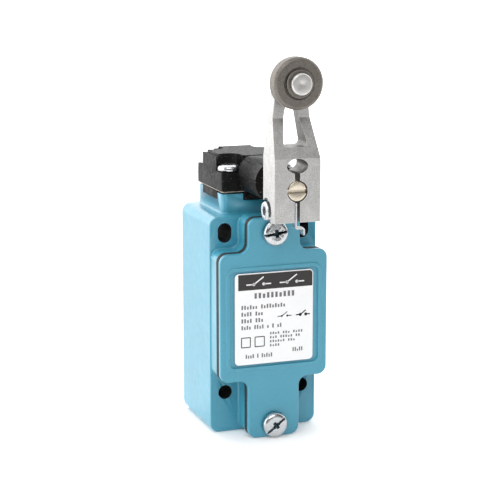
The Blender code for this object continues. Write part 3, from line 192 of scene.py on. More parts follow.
CLAMP_SEAT_RADIUS = 4.7 * MM
CLAMP_SEAT_DEPTH = 1.6 * MM
SHAFT_SLOT_HALF = 0.65 * MM
SHAFT_SLOT_DEPTH = 1.4 * MM
TANG_LENGTH = 2.2 * MM
TANG_HALF = 1.2 * MM
GROOVE_DEPTH = 0.6 * MM
RUNNING_GAP = 0.3 * MM

# Screws
COVER_SCREW_HEAD = 2.6 * MM
HEAD_SCREW_HEAD = 2.2 * MM
SHANK_SHARE = 0.46
THREAD_PITCH = 0.7 * MM
COVER_SCREW_BORE = 2.5 * MM
HEAD_SCREW_BORE = 2.2 * MM
NECK_SHARE = 0.45  # this and the next five are shares of the head's radius
UNDERSIDE_SHARE = 0.97
CROWN_SHARE = 0.62
RECESS_REACH = 0.45
RECESS_WIDTH = 0.30
DRIVER_SLOT = 0.10
DOME_SHARE = 0.32  # this and the next five are shares of the head's height
NECK_LENGTH = 0.6
RIM_SHARE = 0.06
SLOT_FLOOR = 0.62
RECESS_LENGTH = 1.3
RECESS_CENTRE = 1.05
RECESS_TAPER_ALONG = 0.45  # the recess's size at its floor, as shares of its size at the crown
RECESS_TAPER_ACROSS = 0.8
DOME_STEPS = 6
CROWN_LIFT = 0.02 * MM

# Springs
SPRING_WIRE = 0.4 * MM
WIRE_SIDES = 10
PLUNGER_SPRING_TURNS = 4
CONTACT_SPRING_TURNS = 3

# Roller and pin
ROLLER_CHAMFER = 0.9 * MM
PIN_RADIUS = 3.0 * MM
PIN_HEAD_RADIUS = 3.75 * MM
PIN_HEAD_HEIGHT = 1.8 * MM
PIN_TAIL_HEIGHT = 1.0 * MM

# Studio
FRONT_LIGHT = 0.15
BACK_LIGHT = 2.1
CAMERA_AZIMUTH = -19.75
CAMERA_ELEVATION = 11.71
CAMERA_DISTANCE = 581.1 * MM
CAMERA_LENS = 111.2
SENSOR_WIDTH = 36
CAMERA_AIM = Vector((0.36 * MM, -18.0 * MM, 19.6 * MM))
FLOOR_REACH = 0.6
FLOOR_GAP = 0.1 * MM
FLOOR_GLOW = 0.15


# Shape tools


def mesh_object(name, shape):
    """An object from a bmesh, with outward faces."""
    bmesh.ops.recalc_face_normals(shape, faces=shape.faces)
    mesh = bpy.data.meshes.new(name)
    shape.to_mesh(mesh)
    shape.free()
    made = bpy.data.objects.new(name, mesh)
    bpy.context.scene.collection.objects.link(made)
    return made


def rounded(corners, steps=CORNER_STEPS):
    """An outline from (u, v, radius) corners in order, with each corner drawn as an arc."""
    outline = []
    for index, (u, v, radius) in enumerate(corners):
        here = Vector((u, v))
        if radius <= 0:
            outline.append(here)
            continue
        before = (Vector(corners[index - 1][:2]) - here).normalized()
        after = (Vector(corners[(index + 1) % len(corners)][:2]) - here).normalized()
        half_angle = before.angle(after) / 2
        run = radius / math.tan(half_angle)
        centre = here + (before + after).normalized() * radius / math.sin(half_angle)
        start = here + before * run - centre
        sweep = (here + after * run - centre).angle_signed(start)
        for step in range(steps + 1):
            outline.append(centre + Matrix.Rotation(sweep * step / steps, 2) @ start)
    return outline


def rectangle(low_u, high_u, low_v, high_v, radius=0.0):
    corners = [(low_u, low_v), (high_u, low_v), (high_u, high_v), (low_u, high_v)]
    return rounded([(u, v, radius) for u, v in corners])


def head_square(half, radius):
    """A square outline round the head's axis, seen from above."""
    return rectangle(-half, half, HEAD_Y - half, HEAD_Y + half, radius)


def ellipse(centre_u, centre_v, half_u, half_v, steps=ROUND_STEPS):
    turns = [2 * math.pi * step / steps for step in range(steps)]
    return [Vector((centre_u + half_u * math.cos(t), centre_v + half_v * math.sin(t))) for t in turns]


def extrude(shape, points, step):
    """Adds a solid to the shape: the outline through the points, carried along by the step."""
    face = shape.faces.new([shape.verts.new(point) for point in points])
    grown = bmesh.ops.extrude_face_region(shape, geom=[face])["geom"]
    moved = [part for part in grown if isinstance(part, bmesh.types.BMVert)]
    bmesh.ops.translate(shape, vec=step, verts=moved)


def prism(name, outline, axis, low, high):
    """The outline extruded along an axis: (x, y) along Z, (x, z) along Y, (y, z) along X."""
    place = {
        "X": lambda u, v: (low, u, v),
        "Y": lambda u, v: (u, low, v),
        "Z": lambda u, v: (u, v, low),
    }[axis]
    along = {"X": RIGHT, "Y": -FORWARD, "Z": UP}[axis]
    shape = bmesh.new()
    extrude(shape, [place(*point) for point in outline], along * (high - low))
    return mesh_object(name, shape)


def box(name, low, high):
    return prism(name, rectangle(low[0], high[0], low[1], high[1]), "Z", low[2], high[2])


def turned(name, profile, centre, towards, steps=ROUND_STEPS):
    """A solid of revolution. The profile holds (radius, height) along the direction from the centre."""
    shape = bmesh.new()
    points = [shape.verts.new((radius, 0, height)) for radius, height in profile]
    edges = [shape.edges.new(pair) for pair in zip(points, points[1:])]
    bmesh.ops.spin(
        shape, geom=points + edges, axis=UP, cent=(0, 0, 0), steps=steps, angle=2 * math.pi
    )
    bmesh.ops.remove_doubles(shape, verts=shape.verts, dist=0.001 * MM)
    turn = towards.to_track_quat("Z", "Y").to_matrix().to_4x4()
    bmesh.ops.transform(shape, matrix=Matrix.Translation(centre) @ turn, verts=shape.verts)
    return mesh_object(name, shape)


def rod(name, radius, length, centre, towards, steps=ROUND_STEPS):
    return turned(name, [(0, 0), (radius, 0), (radius, length), (0, length)], centre, towards, steps)


def ring(name, inner, outer, length, centre, towards):
    profile = [(inner, 0), (outer, 0), (outer, length), (inner, length), (inner, 0)]
    return turned(name, profile, centre, towards)


def bake(target):
    """Applies the object's modifiers to its mesh."""
    graph = bpy.context.evaluated_depsgraph_get()
    target.data = bpy.data.meshes.new_from_object(target.evaluated_get(graph))
    target.modifiers.clear()
    return target


def combine(target, tools, operation):
    for tool in tools:
        modifier = target.modifiers.new(tool.name, "BOOLEAN")
        modifier.operation = operation
        modifier.solver = "EXACT"
        modifier.object = tool
    bake(target)
    for tool in tools:
        bpy.data.objects.remove(tool)


def cut(target, *tools):
    combine(target, tools, "DIFFERENCE")


def join(target, *tools):
    combine(target, tools, "UNION")


def bevel(target, width, segments=3, angle=40):
    modifier = target.modifiers.new("edges", "BEVEL")
    modifier.width = width
    modifier.segments = segments
    modifier.limit_method = "ANGLE"
    modifier.angle_limit = math.radians(angle)
    return target


def softened(target, width, segments=3, angle=40):
    return bake(bevel(target, width, segments, angle))


# Materials


class Nodes:
    """A material's node tree with its Principled shader, and short calls for the usual nodes."""

    def __init__(self, name):
        self.material = bpy.data.materials.new(name)
        self.material.use_nodes = True
        self.tree = self.material.node_tree
        self.shader = self.tree.nodes["Principled BSDF"]
        self.place = self.add("ShaderNodeTexCoord").outputs["Object"]

    def add(self, kind, **settings):
        node = self.tree.nodes.new(kind)
        for key, value in settings.items():
            setattr(node, key, value)
        return node

    def link(self, source, target):
        self.tree.links.new(source, target)

    def noise(self, size, detail=3.0, stretch=(1, 1, 1)):
        """Noise whose features are about this size, from 0 to 1."""
        mapping = self.add("ShaderNodeMapping")
        mapping.inputs["Scale"].default_value = stretch
        self.link(self.place, mapping.inputs["Vector"])
        node = self.add("ShaderNodeTexNoise")
        node.inputs["Scale"].default_value = 1 / size
        node.inputs["Detail"].default_value = detail
        self.link(mapping.outputs["Vector"], node.inputs["Vector"])
        return node.outputs["Fac"]

    def ramp(self, source, low, high, start=0.0, end=1.0):
        """The source from start to end, mapped to low to high and held there."""
        node = self.add("ShaderNodeMapRange")
        node.inputs["From Min"].default_value = start
        node.inputs["From Max"].default_value = end
        node.inputs["To Min"].default_value = low
        node.inputs["To Max"].default_value = high
        self.link(source, node.inputs["Value"])
        return node.outputs["Result"]

    def clouds(self, size, low=0, high=1, detail=3.0):
        """Soft patches of about this size that run from low to high."""
        return self.ramp(self.noise(size, detail), low, high, 0.3, 0.7)

    def mix(self, factor, first, second):
        node = self.add("ShaderNodeMix", data_type="RGBA")
        self.link(factor, node.inputs["Factor"])
        for socket, value in (("A", first), ("B", second)):
            target = [i for i in node.inputs if i.name == socket and i.type == "RGBA"][0]
            if isinstance(value, tuple):
                target.default_value = (*value, 1)
            else:
                self.link(value, target)
        return [o for o in node.outputs if o.type == "RGBA"][0]

    def edges(self, radius):
        """1 on convex and concave edges, 0 on flat ground."""
        rounded_normal = self.add("ShaderNodeBevel", samples=4)
        rounded_normal.inputs["Radius"].default_value = radius
        geometry = self.add("ShaderNodeNewGeometry")
        dot = self.add("ShaderNodeVectorMath", operation="DOT_PRODUCT")
        self.link(rounded_normal.outputs["Normal"], dot.inputs[0])
        self.link(geometry.outputs["Normal"], dot.inputs[1])
        return self.ramp(dot.outputs["Value"], 1.0, 0.0, 0.80, 0.99)

    def bump(self, height, depth, strength=1.0):
        node = self.add("ShaderNodeBump")
        node.inputs["Distance"].default_value = depth
        node.inputs["Strength"].default_value = strength
        self.link(height, node.inputs["Height"])
        self.link(node.outputs["Normal"], self.shader.inputs["Normal"])

    def colour(self, source):
        self.link(source, self.shader.inputs["Base Color"])

    def roughness(self, source):
        self.link(source, self.shader.inputs["Roughness"])

    def set(self, **values):
        for name, value in values.items():
            self.shader.inputs[name.replace("_", " ")].default_value = value


def shaded(colour, share):
    return tuple(channel * share for channel in colour)


def blue_paint():
    """Satin paint on a casting: fine orange peel, slow tone changes and pale worn edges."""
    made = Nodes("blue_paint")
    base = (0.040, 0.305, 0.43)
    tone = made.mix(made.clouds(14 * MM), shaded(base, 0.95), shaded(base, 1.05))
    speck = made.ramp(made.noise(0.5 * MM, 2), 0, 1, 0.30, 0.42)
    tone = made.mix(speck, shaded(base, 0.85), tone)
    worn = made.ramp(made.edges(0.35 * MM), 0, 0.35)
    made.colour(made.mix(worn, tone, (0.30, 0.60, 0.70)))
    made.roughness(made.clouds(2.5 * MM, 0.34, 0.48))
    made.bump(made.noise(0.7 * MM, 2), 0.03 * MM, 0.5)
    made.set(Coat_Weight=0.8, Coat_Roughness=0.35)
    return made.material


def black_plastic():
    """Moulded black plastic with a fine spark-eroded grain and a few pale scuffs."""
    made = Nodes("black_plastic")
    scuff = made.ramp(made.noise(0.8 * MM, 6), 0, 1, 0.64, 0.70)
    made.colour(made.mix(scuff, (0.004, 0.004, 0.004), (0.12, 0.118, 0.115)))
    made.roughness(made.clouds(1.5 * MM, 0.42, 0.58))
    made.bump(made.noise(0.28 * MM, 2), 0.03 * MM, 0.6)
    made.set(IOR=1.25)
    return made.material


def black_rubber():
    made = Nodes("black_rubber")
    dust = made.ramp(made.noise(0.6 * MM, 4), 0, 1, 0.64, 0.75)
    made.colour(made.mix(dust, (0.016, 0.015, 0.014), (0.10, 0.09, 0.08)))
    made.roughness(made.clouds(0.8 * MM, 0.6, 0.85))
    made.bump(made.noise(0.5 * MM, 3), 0.05 * MM, 0.6)
    return made.material


def cast_alloy():
    """Tumbled die-cast alloy: fine matte grain, soft mottling and brighter rubbed edges."""
    made = Nodes("cast_alloy")
    mottle = made.clouds(3 * MM, detail=4)
    speck = made.ramp(made.noise(0.4 * MM, 3), 0, 1, 0.34, 0.50)
    tone = made.mix(mottle, (0.47, 0.465, 0.455), (0.58, 0.575, 0.565))
    tone = made.mix(speck, (0.33, 0.325, 0.315), tone)
    worn = made.ramp(made.edges(0.4 * MM), 0, 0.9)
    made.colour(made.mix(worn, tone, (0.86, 0.86, 0.85)))
    made.roughness(made.clouds(0.6 * MM, 0.30, 0.46, 3))
    made.bump(made.noise(0.25 * MM, 3), 0.03 * MM, 0.7)
    made.set(Metallic=0.85)
    return made.material


def hole_shade_casting():
    """Near-black painted shade on the walls inside the mounting holes, with dust in the casting's pores."""
    made = Nodes("hole_shade_casting")
    dust = made.ramp(made.noise(0.8 * MM, 4), 0, 1, 0.45, 0.7)
    made.colour(made.mix(dust, (0.010, 0.012, 0.014), (0.030, 0.038, 0.042)))
    made.roughness(made.clouds(0.5 * MM, 0.55, 0.8))
    made.bump(made.noise(0.4 * MM, 3), 0.04 * MM, 0.6)
    return made.material


def sintered_steel():
    """Pressed and sintered steel: dark open pores in a dull brownish grey."""
    made = Nodes("sintered_steel")
    pores = made.ramp(made.noise(0.22 * MM, 3), 0, 1, 0.34, 0.50)
    mottle = made.clouds(4 * MM)
    tone = made.mix(mottle, (0.19, 0.173, 0.152), (0.235, 0.216, 0.192))
    worn = made.ramp(made.edges(0.35 * MM), 0, 0.8)
    made.colour(made.mix(worn, made.mix(pores, (0.10, 0.09, 0.08), tone), (0.55, 0.53, 0.50)))
    made.roughness(made.clouds(0.4 * MM, 0.38, 0.58, 3))
    made.bump(made.noise(0.25 * MM, 3), 0.03 * MM, 0.6)
    made.set(Metallic=0.85)
    return made.material


def bright_metal(name, colour, roughness, grain=0.4 * MM):
    """Plated or machined metal with faint marks."""
    made = Nodes(name)
    marks = made.clouds(grain, detail=5)
    made.colour(made.mix(marks, shaded(colour, 0.93), colour))
    made.roughness(made.clouds(1.2 * MM, 0.8 * roughness, 1.3 * roughness, 4))
    made.bump(made.noise(grain, 3), 0.01 * MM, 0.35)
    made.set(Metallic=1.0)
    return made.material


def moulding(name, colour):
    """Glass-filled moulding with short pale fibres near its surface."""
    made = Nodes(name)
    fibres = made.ramp(made.noise(0.5 * MM, 4, (1, 1, 3)), 0, 1, 0.60, 0.70)
    made.colour(made.mix(fibres, colour, shaded(colour, 1.5)))
    made.roughness(made.clouds(1.0 * MM, 0.45, 0.6))
    made.bump(made.noise(0.3 * MM, 2), 0.02 * MM, 0.5)
    return made.material


def label_stock(name, colour, speckle):
    """Printed film: even colour with a faint print grain."""
    made = Nodes(name)
    grain = made.ramp(made.noise(0.35 * MM, 2), 0, 1, 0.35, 0.65)
    made.colour(made.mix(grain, shaded(colour, speckle), colour))
    made.roughness(made.clouds(3 * MM, 0.38, 0.48))
    made.bump(made.noise(5 * MM), 0.02 * MM, 0.3)
    return made.material


def gasket_sheet():
    made = Nodes("gasket_card")
    fibre = made.clouds(0.4 * MM, detail=4)
    made.colour(made.mix(fibre, (0.38, 0.32, 0.26), (0.60, 0.53, 0.45)))
    made.roughness(made.clouds(0.5 * MM, 0.7, 0.9))
    made.bump(made.noise(0.3 * MM, 3), 0.04 * MM, 0.6)
    return made.material


MATERIALS = {
    "blue_paint": blue_paint(),
    "black_plastic": black_plastic(),
    "black_rubber": black_rubber(),
    "label_white": label_stock("label_white", (0.93, 0.935, 0.94), 0.97),
    "zinc": bright_metal("zinc", (0.56, 0.575, 0.59), 0.24),
    "cast_alloy": cast_alloy(),
    "sintered_steel": sintered_steel(),
    "pin_steel": bright_metal("pin_steel", (0.64, 0.63, 0.61), 0.34, 0.3 * MM),
    "pale_brass": bright_metal("pale_brass", (0.66, 0.59, 0.48), 0.28),
    "bronze": bright_metal("bronze", (0.55, 0.36, 0.17), 0.35),
    "gasket_card": gasket_sheet(),
    # near-black painted shade for the walls of the housing's mounting holes
    "hole_shade_casting": hole_shade_casting(),
    # darker painted shade for the walls of the lever's window, oval hole and slit
    "opening_shade_casting": bright_metal("opening_shade_casting", (0.24, 0.235, 0.23), 0.5, 0.3 * MM),
    # the recess finish is painted shade: dark blue-green on the walls and floors of the screws' cross
    # recesses
    "recess": moulding("recess", (0.012, 0.045, 0.06)),
    "grey_moulding": moulding("grey_moulding", (0.30, 0.30, 0.31)),
}
DARK_INK = label_stock("dark_ink", (0.020, 0.018, 0.016), 0.85)
GREY_INK = label_stock("grey_ink", (0.16, 0.16, 0.16), 0.85)
WHITE_INK = label_stock("white_ink", (0.88, 0.88, 0.88), 0.97)
SLOT_OF = {part["node"]: part["material_slot"] for part in frame["record"]["subparts"]}
BODY_OF = {node: body for body, nodes in frame["record"]["behaviour"]["bodies"].items() for node in nodes}


def show(piece, node, edge=0.0, segments=2, angle=40, finish=None):
    """The piece stands for a CAD node: it takes the node's body and finish, and gets softened edges."""
    slot = SLOT_OF[node]
    piece.data.materials.clear()
    piece.data.materials.append(MATERIALS[finish or slot])
    piece.data.shade_smooth()
    if edge:
        bevel(piece, edge, segments, angle)
    else:
        piece.data.set_sharp_from_angle(angle=math.radians(angle))
    flat = piece.modifiers.new("flat_faces", "WEIGHTED_NORMAL")
    flat.mode = "FACE_AREA"
    flat.keep_sharp = True
    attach(piece, BODY_OF[node])
    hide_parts(node)
    return piece


def keep_within(piece, low, high):
    """Holds the piece's points inside a box, where a bevel overshoots a sharp corner."""
    for vert in piece.data.vertices:
        vert.co = [min(max(value, least), most) for value, least, most in zip(vert.co, low, high)]


def paint_faces(piece, finish, chosen):
    """Gives the faces that the test picks, by centre and normal, a second finish."""
    piece.data.materials.append(MATERIALS[finish])
    for face in piece.data.polygons:
        if chosen(face.center, face.normal):
            face.material_index = 1


# Housing, gasket and cover


def panel_outline(inset=0.0):
    """The plus-like outline shared by the cover, the gasket and the raised front."""
    half = PANEL_HALF - inset
    tab = TAB_HALF - inset
    top = COVER_HIGH.z - inset
    bottom = COVER_LOW.z + inset
    right = [
        (tab, bottom, PANEL_CORNER),
        (tab, MIDDLE_BOTTOM + inset, PANEL_CORNER),
        (half, MIDDLE_BOTTOM + inset, PANEL_CORNER),
        (half, MIDDLE_TOP - inset, PANEL_CORNER),
        (tab, MIDDLE_TOP - inset, PANEL_CORNER),
        (tab, top, PANEL_CORNER),
    ]
    left = [(-u, v, radius) for u, v, radius in reversed(right)]
    return rounded(right + left)


def screw_corners():
    """The head screws' centres, with the sign of each along x and y."""
    names = {(-1, -1): "front_left", (1, -1): "front_right", (-1, 1): "back_left", (1, 1): "back_right"}
    return [(name, x, y) for (x, y), name in names.items()]


def key_boxes(name, top, clearance):
    """The four tabs under the head, or with a clearance their notches in the neck."""
    outer = HEAD_HALF + (OVERLAP if clearance else -EDGE_INSET)
    inner = HEAD_HALF - KEY_THICKNESS - clearance
    bottom = HEAD_LOW.z - clearance
    side = SIDE_KEY_HALF + clearance
    front = FRONT_KEY_HALF + clearance
    boxes = []
    for sign in (-1, 1):
        across = sorted((sign * inner, sign * outer))
        low = (across[0], HEAD_Y - side, bottom)
        boxes.append(box(f"{name}_side_{sign}", low, (across[1], HEAD_Y + side, top)))
        low = (-front, HEAD_Y + across[0], bottom)
        boxes.append(box(f"{name}_front_{sign}", low, (front, HEAD_Y + across[1], top)))
    return boxes


def build_housing():
    bottom = HOUSING_LOW.z
    outline = rectangle(-HALF_WIDTH, HALF_WIDTH, bottom, BODY_TOP, BODY_CORNER)
    housing = softened(prism("housing_casting", outline, "Y", FLANGE_Y, HOUSING_HIGH.y), BODY_EDGE)
    raised = prism("raised_front", panel_outline(RAISED_INSET), "Y", RAISED_Y, FLANGE_Y + OVERLAP)
    neck = prism("neck", head_square(NECK_HALF, NECK_CORNER), "Z", BODY_TOP - 2 * OVERLAP, HOUSING_HIGH.z)
    join(housing, raised, neck)
    inner = HALF_WIDTH - WALL
    cavity = rectangle(-inner, inner, MIDDLE_BOTTOM + WALL, MIDDLE_TOP - WALL, PANEL_CORNER)
    holes = [prism("cavity", cavity, "Y", RAISED_Y - OVERLAP, -BACK_WALL)]
    holes += key_boxes("key_notch", HOUSING_HIGH.z + OVERLAP, RUNNING_GAP)
    holes += housing_holes()
    cut(housing, *holes)
    fillet_roots(housing)
    show(housing, "housing", 0.35 * MM)
    # painted shade: the mounting holes' walls are coloured near-black
    paint_faces(housing, "hole_shade_casting", is_hole_wall)
    keep_within(bake(housing), HOUSING_LOW, HOUSING_HIGH)


def fillet_roots(housing):
    """Rounds the inner corners where the raised front and the neck grow out of the body."""
    shape = bmesh.new()
    shape.from_mesh(housing.data)
    near = 0.01 * MM

    def is_root(edge):
        if len(edge.link_faces) != 2 or edge.calc_face_angle_signed(0) > -SHARP_ANGLE:
            return False
        places = [vert.co for vert in edge.verts]
        on_flange = all(abs(place.y - FLANGE_Y) < near for place in places)
        on_top = all(abs(place.z - BODY_TOP) < near for place in places)
        return on_flange or on_top

    roots = [edge for edge in shape.edges if is_root(edge)]
    bmesh.ops.bevel(shape, geom=roots, offset=ROOT_FILLET, segments=4, profile=0.5, affect="EDGES")
    shape.to_mesh(housing.data)
    shape.free()


def is_hole_wall(centre, normal):
    """True inside the four mounting holes, whose walls get a near-black painted shade."""
    off_x = abs(centre.x) - HOLE_PITCH_X / 2
    off_z = abs(centre.z) - HOLE_PITCH_Z / 2
    near = math.hypot(off_x, off_z) < SLOT_LENGTH / 2 + EDGE_INSET
    return near and abs(normal.y) < 0.1


def housing_holes():
    holes = []
    for x in (-HOLE_PITCH_X / 2, HOLE_PITCH_X / 2):
        for z in (-HOLE_PITCH_Z / 2, HOLE_PITCH_Z / 2):
            stretch = SLOT_LENGTH / 2 if z > 0 else HOLE_RADIUS
            radius = HOLE_RADIUS * ARC_SHARE
            outline = rectangle(x - HOLE_RADIUS, x + HOLE_RADIUS, z - stretch, z + stretch, radius)
            holes.append(prism("mounting_hole", outline, "Y", FLANGE_Y - OVERLAP, OVERLAP))
    cavity_bottom = MIDDLE_BOTTOM + WALL
    start = HOUSING_LOW.z - OVERLAP
    holes.append(rod("entry", ENTRY_RADIUS, cavity_bottom + OVERLAP - start, (0, ENTRY_Y, start), UP))
    seat = GUIDE_BOTTOM - RUNNING_GAP
    start = MIDDLE_TOP - WALL - OVERLAP
    holes.append(rod("stem_bore", STEM_BORE, seat - start + OVERLAP, (0, HEAD_Y, start), UP))
    holes.append(rod("neck_bore", NECK_BORE, HOUSING_HIGH.z - seat + OVERLAP, (0, HEAD_Y, seat), UP))
    for name in ("top", "bottom"):
        low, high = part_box(f"cover_screw_{name}")
        centre = (0, high.y + RUNNING_GAP, (low.z + high.z) / 2)
        holes.append(rod("cover_hole", COVER_SCREW_BORE, high.y - low.y, centre, FORWARD))
    for name, x, y in screw_corners():
        low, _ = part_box(f"head_screw_{name}")
        centre = (x * SCREW_REACH, HEAD_Y + y * SCREW_REACH, low.z - RUNNING_GAP)
        holes.append(rod("neck_hole", HEAD_SCREW_BORE, HEAD_BOTTOM - low.z, centre, UP))
    return holes


def cover_screw_bores(front, back):
    depth = back - front + 2 * OVERLAP
    starts = [(0, back + OVERLAP, middle(f"cover_screw_{name}").z) for name in ("top", "bottom")]
    return [rod("bore", COVER_SCREW_BORE, depth, start, FORWARD) for start in starts]


def build_gasket():
    """The sheet fills the joint between the cover and the raised front, pressed a little proud."""
    front, back = COVER_HIGH.y, RAISED_Y
    gasket = prism("cover_seal", panel_outline(), "Y", front, back)
    half = PANEL_HALF - GASKET_RIM
    opening = rectangle(-half, half, MIDDLE_BOTTOM + GASKET_RIM, MIDDLE_TOP - GASKET_RIM, PANEL_CORNER / 2)
    hole = prism("opening", opening, "Y", front - OVERLAP, back + OVERLAP)
    cut(gasket, hole, *cover_screw_bores(front, back))
    show(gasket, "cover_gasket", 0.2 * MM)


def build_cover():
    """A pressed-looking casting: rounded rim, a soft ridge and a shallow pocket for the nameplate."""
    cover = softened(prism("cover_plate", panel_outline(), "Y", COVER_Y, COVER_HIGH.y), COVER_EDGE)
    pocket_x = PLATE_HIGH.x + POCKET_MARGIN
    pocket_z = PLATE_HIGH.z + POCKET_MARGIN / 2
    ridge_x = pocket_x + RIDGE_WIDTH
    ridge_z = pocket_z + RIDGE_WIDTH
    ridge = rectangle(-ridge_x, ridge_x, -ridge_z, ridge_z, POCKET_CORNER + RIDGE_WIDTH)
    pocket = rectangle(-pocket_x, pocket_x, -pocket_z, pocket_z, POCKET_CORNER)
    join(cover, prism("ridge", ridge, "Y", COVER_LOW.y, COVER_Y + OVERLAP))
    tools = [prism("pocket", pocket, "Y", COVER_LOW.y - OVERLAP, COVER_Y + POCKET_DEPTH)]
    cut(cover, *tools, *cover_screw_bores(COVER_LOW.y, COVER_HIGH.y))
    show(cover, "cover", 0.22 * MM)


# Nameplate


def print_on_plate(name, outlines, ink, depth=0.04 * MM):
    """Flat printed shapes that lie on the nameplate."""
    shape = bmesh.new()
    for outline in outlines:
        extrude(shape, [(u, PLATE_LOW.y, v) for u, v in outline], FORWARD * depth)
    made = mesh_object(name, shape)
    made.data.materials.append(ink)
    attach(made, BODY_OF["nameplate"])
    return made


def block_row(start, end, base, height, pattern):
    """A row of small blocks: the pattern holds their height shares, with 0 for a space."""
    width = (end - start) / len(pattern)
    blocks = []
    for index, share in enumerate(pattern):
        if share:
            left = start + index * width
            blocks.append(rectangle(left, left + 0.55 * width, base, base + share * height))
    return blocks


def line(start, end, width):
    start, end = Vector(start), Vector(end)
    side = (end - start).orthogonal().normalized() * width / 2
    return [start + side, end + side, end - side, start - side]


def frame_outline(low_u, high_u, low_v, high_v, width):
    corners = [(low_u, low_v), (high_u, low_v), (high_u, high_v), (low_u, high_v)]
    return [line(corner, corners[(index + 1) % 4], width) for index, corner in enumerate(corners)]


def contact_symbol(centre_u, centre_v, size, width):
    """A plain open contact: two leads, two dots and a raised blade."""
    half = size / 2
    gap = size * 0.2
    dot = width * 1.3
    return [
        line((centre_u - half, centre_v), (centre_u - gap, centre_v), width),
        line((centre_u + gap, centre_v), (centre_u + half, centre_v), width),
        line((centre_u - gap, centre_v), (centre_u + gap, centre_v + 0.28 * size), width),
        ellipse(centre_u - gap, centre_v, dot, dot, 16),
        ellipse(centre_u + gap, centre_v, dot, dot, 16),
    ]


def print_header(half_x, half_z):
    """A dark band along the top, with two plain contact symbols on it."""
    left, right = -half_x + 1.3 * MM, half_x - 0.3 * MM
    top = half_z - 0.4 * MM
    bottom = top - 5.8 * MM
    corners = [(left, bottom, 0.0), (right, bottom, 0.0), (right, top, PLATE_CORNER - 0.4 * MM)]
    print_on_plate("header_band", [rounded(corners + [(left, top, 0.2 * MM)])], DARK_INK)
    symbols = []
    for centre_u in (-6.0 * MM, 6.8 * MM):
        symbols += contact_symbol(centre_u, (top + bottom) / 2 - 0.9 * MM, 9.5 * MM, 0.45 * MM)
    print_on_plate("header_symbols", symbols, WHITE_INK, 0.08 * MM)


def print_rows():
    """The rows of blocks: each is given by its start, end, base and height in millimetres."""
    rows = [
        (-7.6, 8.4, 7.5, 2.0, [1, 1, 0.8, 1, 1, 1, 0.8, 1, 1, 1]),
        (-12.6, 4.6, 3.7, 1.5, [1, 1, 0.7, 1, 0.7, 0.7, 0, 1, 0.7, 1, 1, 0.7, 1, 0.7, 1, 0.7]),
        (-12.6, -4.0, 1.2, 1.5, [1, 0.7, 1, 1, 0, 1, 0.7, 0.7]),
        (-12.6, -3.9, -1.3, 1.5, [1, 1, 0.7, 1, 0, 1, 1, 0.7]),
        (-12.6, 3.2, -3.8, 1.5, [1, 0.7, 1, 0.7, 0, 1, 1, 0.7, 1, 0, 0.7, 0, 1, 0, 0.7, 1]),
        (-11.0, -0.4, -14.6, 1.5, [1, 0.7, 0.7, 1, 0, 1, 0, 1, 0.7, 1, 0.7, 1]),
        (7.2, 11.4, -13.4, 1.5, [1, 1, 0.5, 1, 1]),
        (-1.6, 11.4, -6.3, 0.9, [1, 1, 0.7, 1, 0, 1, 1, 0.7, 0, 1, 0.7, 1, 1]),
        (-1.6, 10.4, -7.8, 0.9, [1, 0.7, 1, 0, 1, 1, 1, 0.7, 1, 0, 1, 1]),
        (-1.6, 8.4, -9.3, 0.9, [1, 1, 0.7, 1, 0.7, 1, 0, 1, 1, 0.7]),
        (-1.6, 2.4, -10.8, 0.9, [1, 0.7, 1, 1]),
    ]
    blocks = []
    for start, end, base, height, pattern in rows:
        blocks += block_row(start * MM, end * MM, base * MM, height * MM, pattern)
    print_on_plate("printed_rows", blocks, GREY_INK)


def print_marks():
    """Two empty frames and two small contact symbols."""
    marks = []
    for left, right in ((-12.6 * MM, -9.2 * MM), (-7.4 * MM, -3.8 * MM)):
        marks += frame_outline(left, right, -10.4 * MM, -6.8 * MM, 0.35 * MM)
    for centre_u, width in ((4.0 * MM, 0.3 * MM), (11.2 * MM, 0.45 * MM)):
        marks += contact_symbol(centre_u, 0.2 * MM, 5.4 * MM, width)
    print_on_plate("printed_marks", marks, DARK_INK)


def build_nameplate():
    half_x, half_z = PLATE_HIGH.x, PLATE_HIGH.z
    outline = rectangle(-half_x, half_x, -half_z, half_z, PLATE_CORNER)
    plate = prism("nameplate_film", outline, "Y", PLATE_LOW.y, PLATE_HIGH.y)
    show(plate, "nameplate", 0.06 * MM)
    print_header(half_x, half_z)
    print_rows()
    print_marks()


# Screws


def screw_head(name, radius, height, slot_length):
    """A domed head at the origin with a tapered cross recess and, with a slot length, a driver slot."""
    rise = 2 * DOME_SHARE * height
    shoulder = height - rise
    neck = NECK_SHARE * radius
    profile = [(0, -NECK_LENGTH * height), (neck, -NECK_LENGTH * height), (neck, 0)]
    profile += [(radius * UNDERSIDE_SHARE, 0), (radius, RIM_SHARE * height), (radius, shoulder)]
    for step in range(1, DOME_STEPS + 1):
        turn = math.pi / 2 * step / DOME_STEPS
        across = radius * (CROWN_SHARE + (1 - CROWN_SHARE) * math.cos(turn))
        profile.append((across, shoulder + rise * math.sin(turn)))
    profile.append((0, height + CROWN_LIFT))
    head = turned(name, profile, (0, 0, 0), UP)
    size = (2 * RECESS_REACH * radius, RECESS_WIDTH * radius, RECESS_LENGTH * height)
    tools = []
    for turn in (0, math.pi / 2):
        shape = bmesh.new()
        bmesh.ops.create_cube(shape, size=1)
        bmesh.ops.scale(shape, vec=size, verts=shape.verts)
        for vert in shape.verts:
            if vert.co.z < 0:
                vert.co.x *= RECESS_TAPER_ALONG
                vert.co.y *= RECESS_TAPER_ACROSS
        bmesh.ops.translate(shape, vec=(0, 0, RECESS_CENTRE * height), verts=shape.verts)
        bmesh.ops.rotate(shape, cent=(0, 0, 0), matrix=Matrix.Rotation(turn, 3, "Z"), verts=shape.verts)
        tools.append(mesh_object("recess", shape))
    if slot_length:
        half = slot_length / 2
        width = DRIVER_SLOT * radius
        tools.append(box("slot", (-half, -width, SLOT_FLOOR * height), (half, width, 2 * height)))
    cut(head, *tools)
    return head


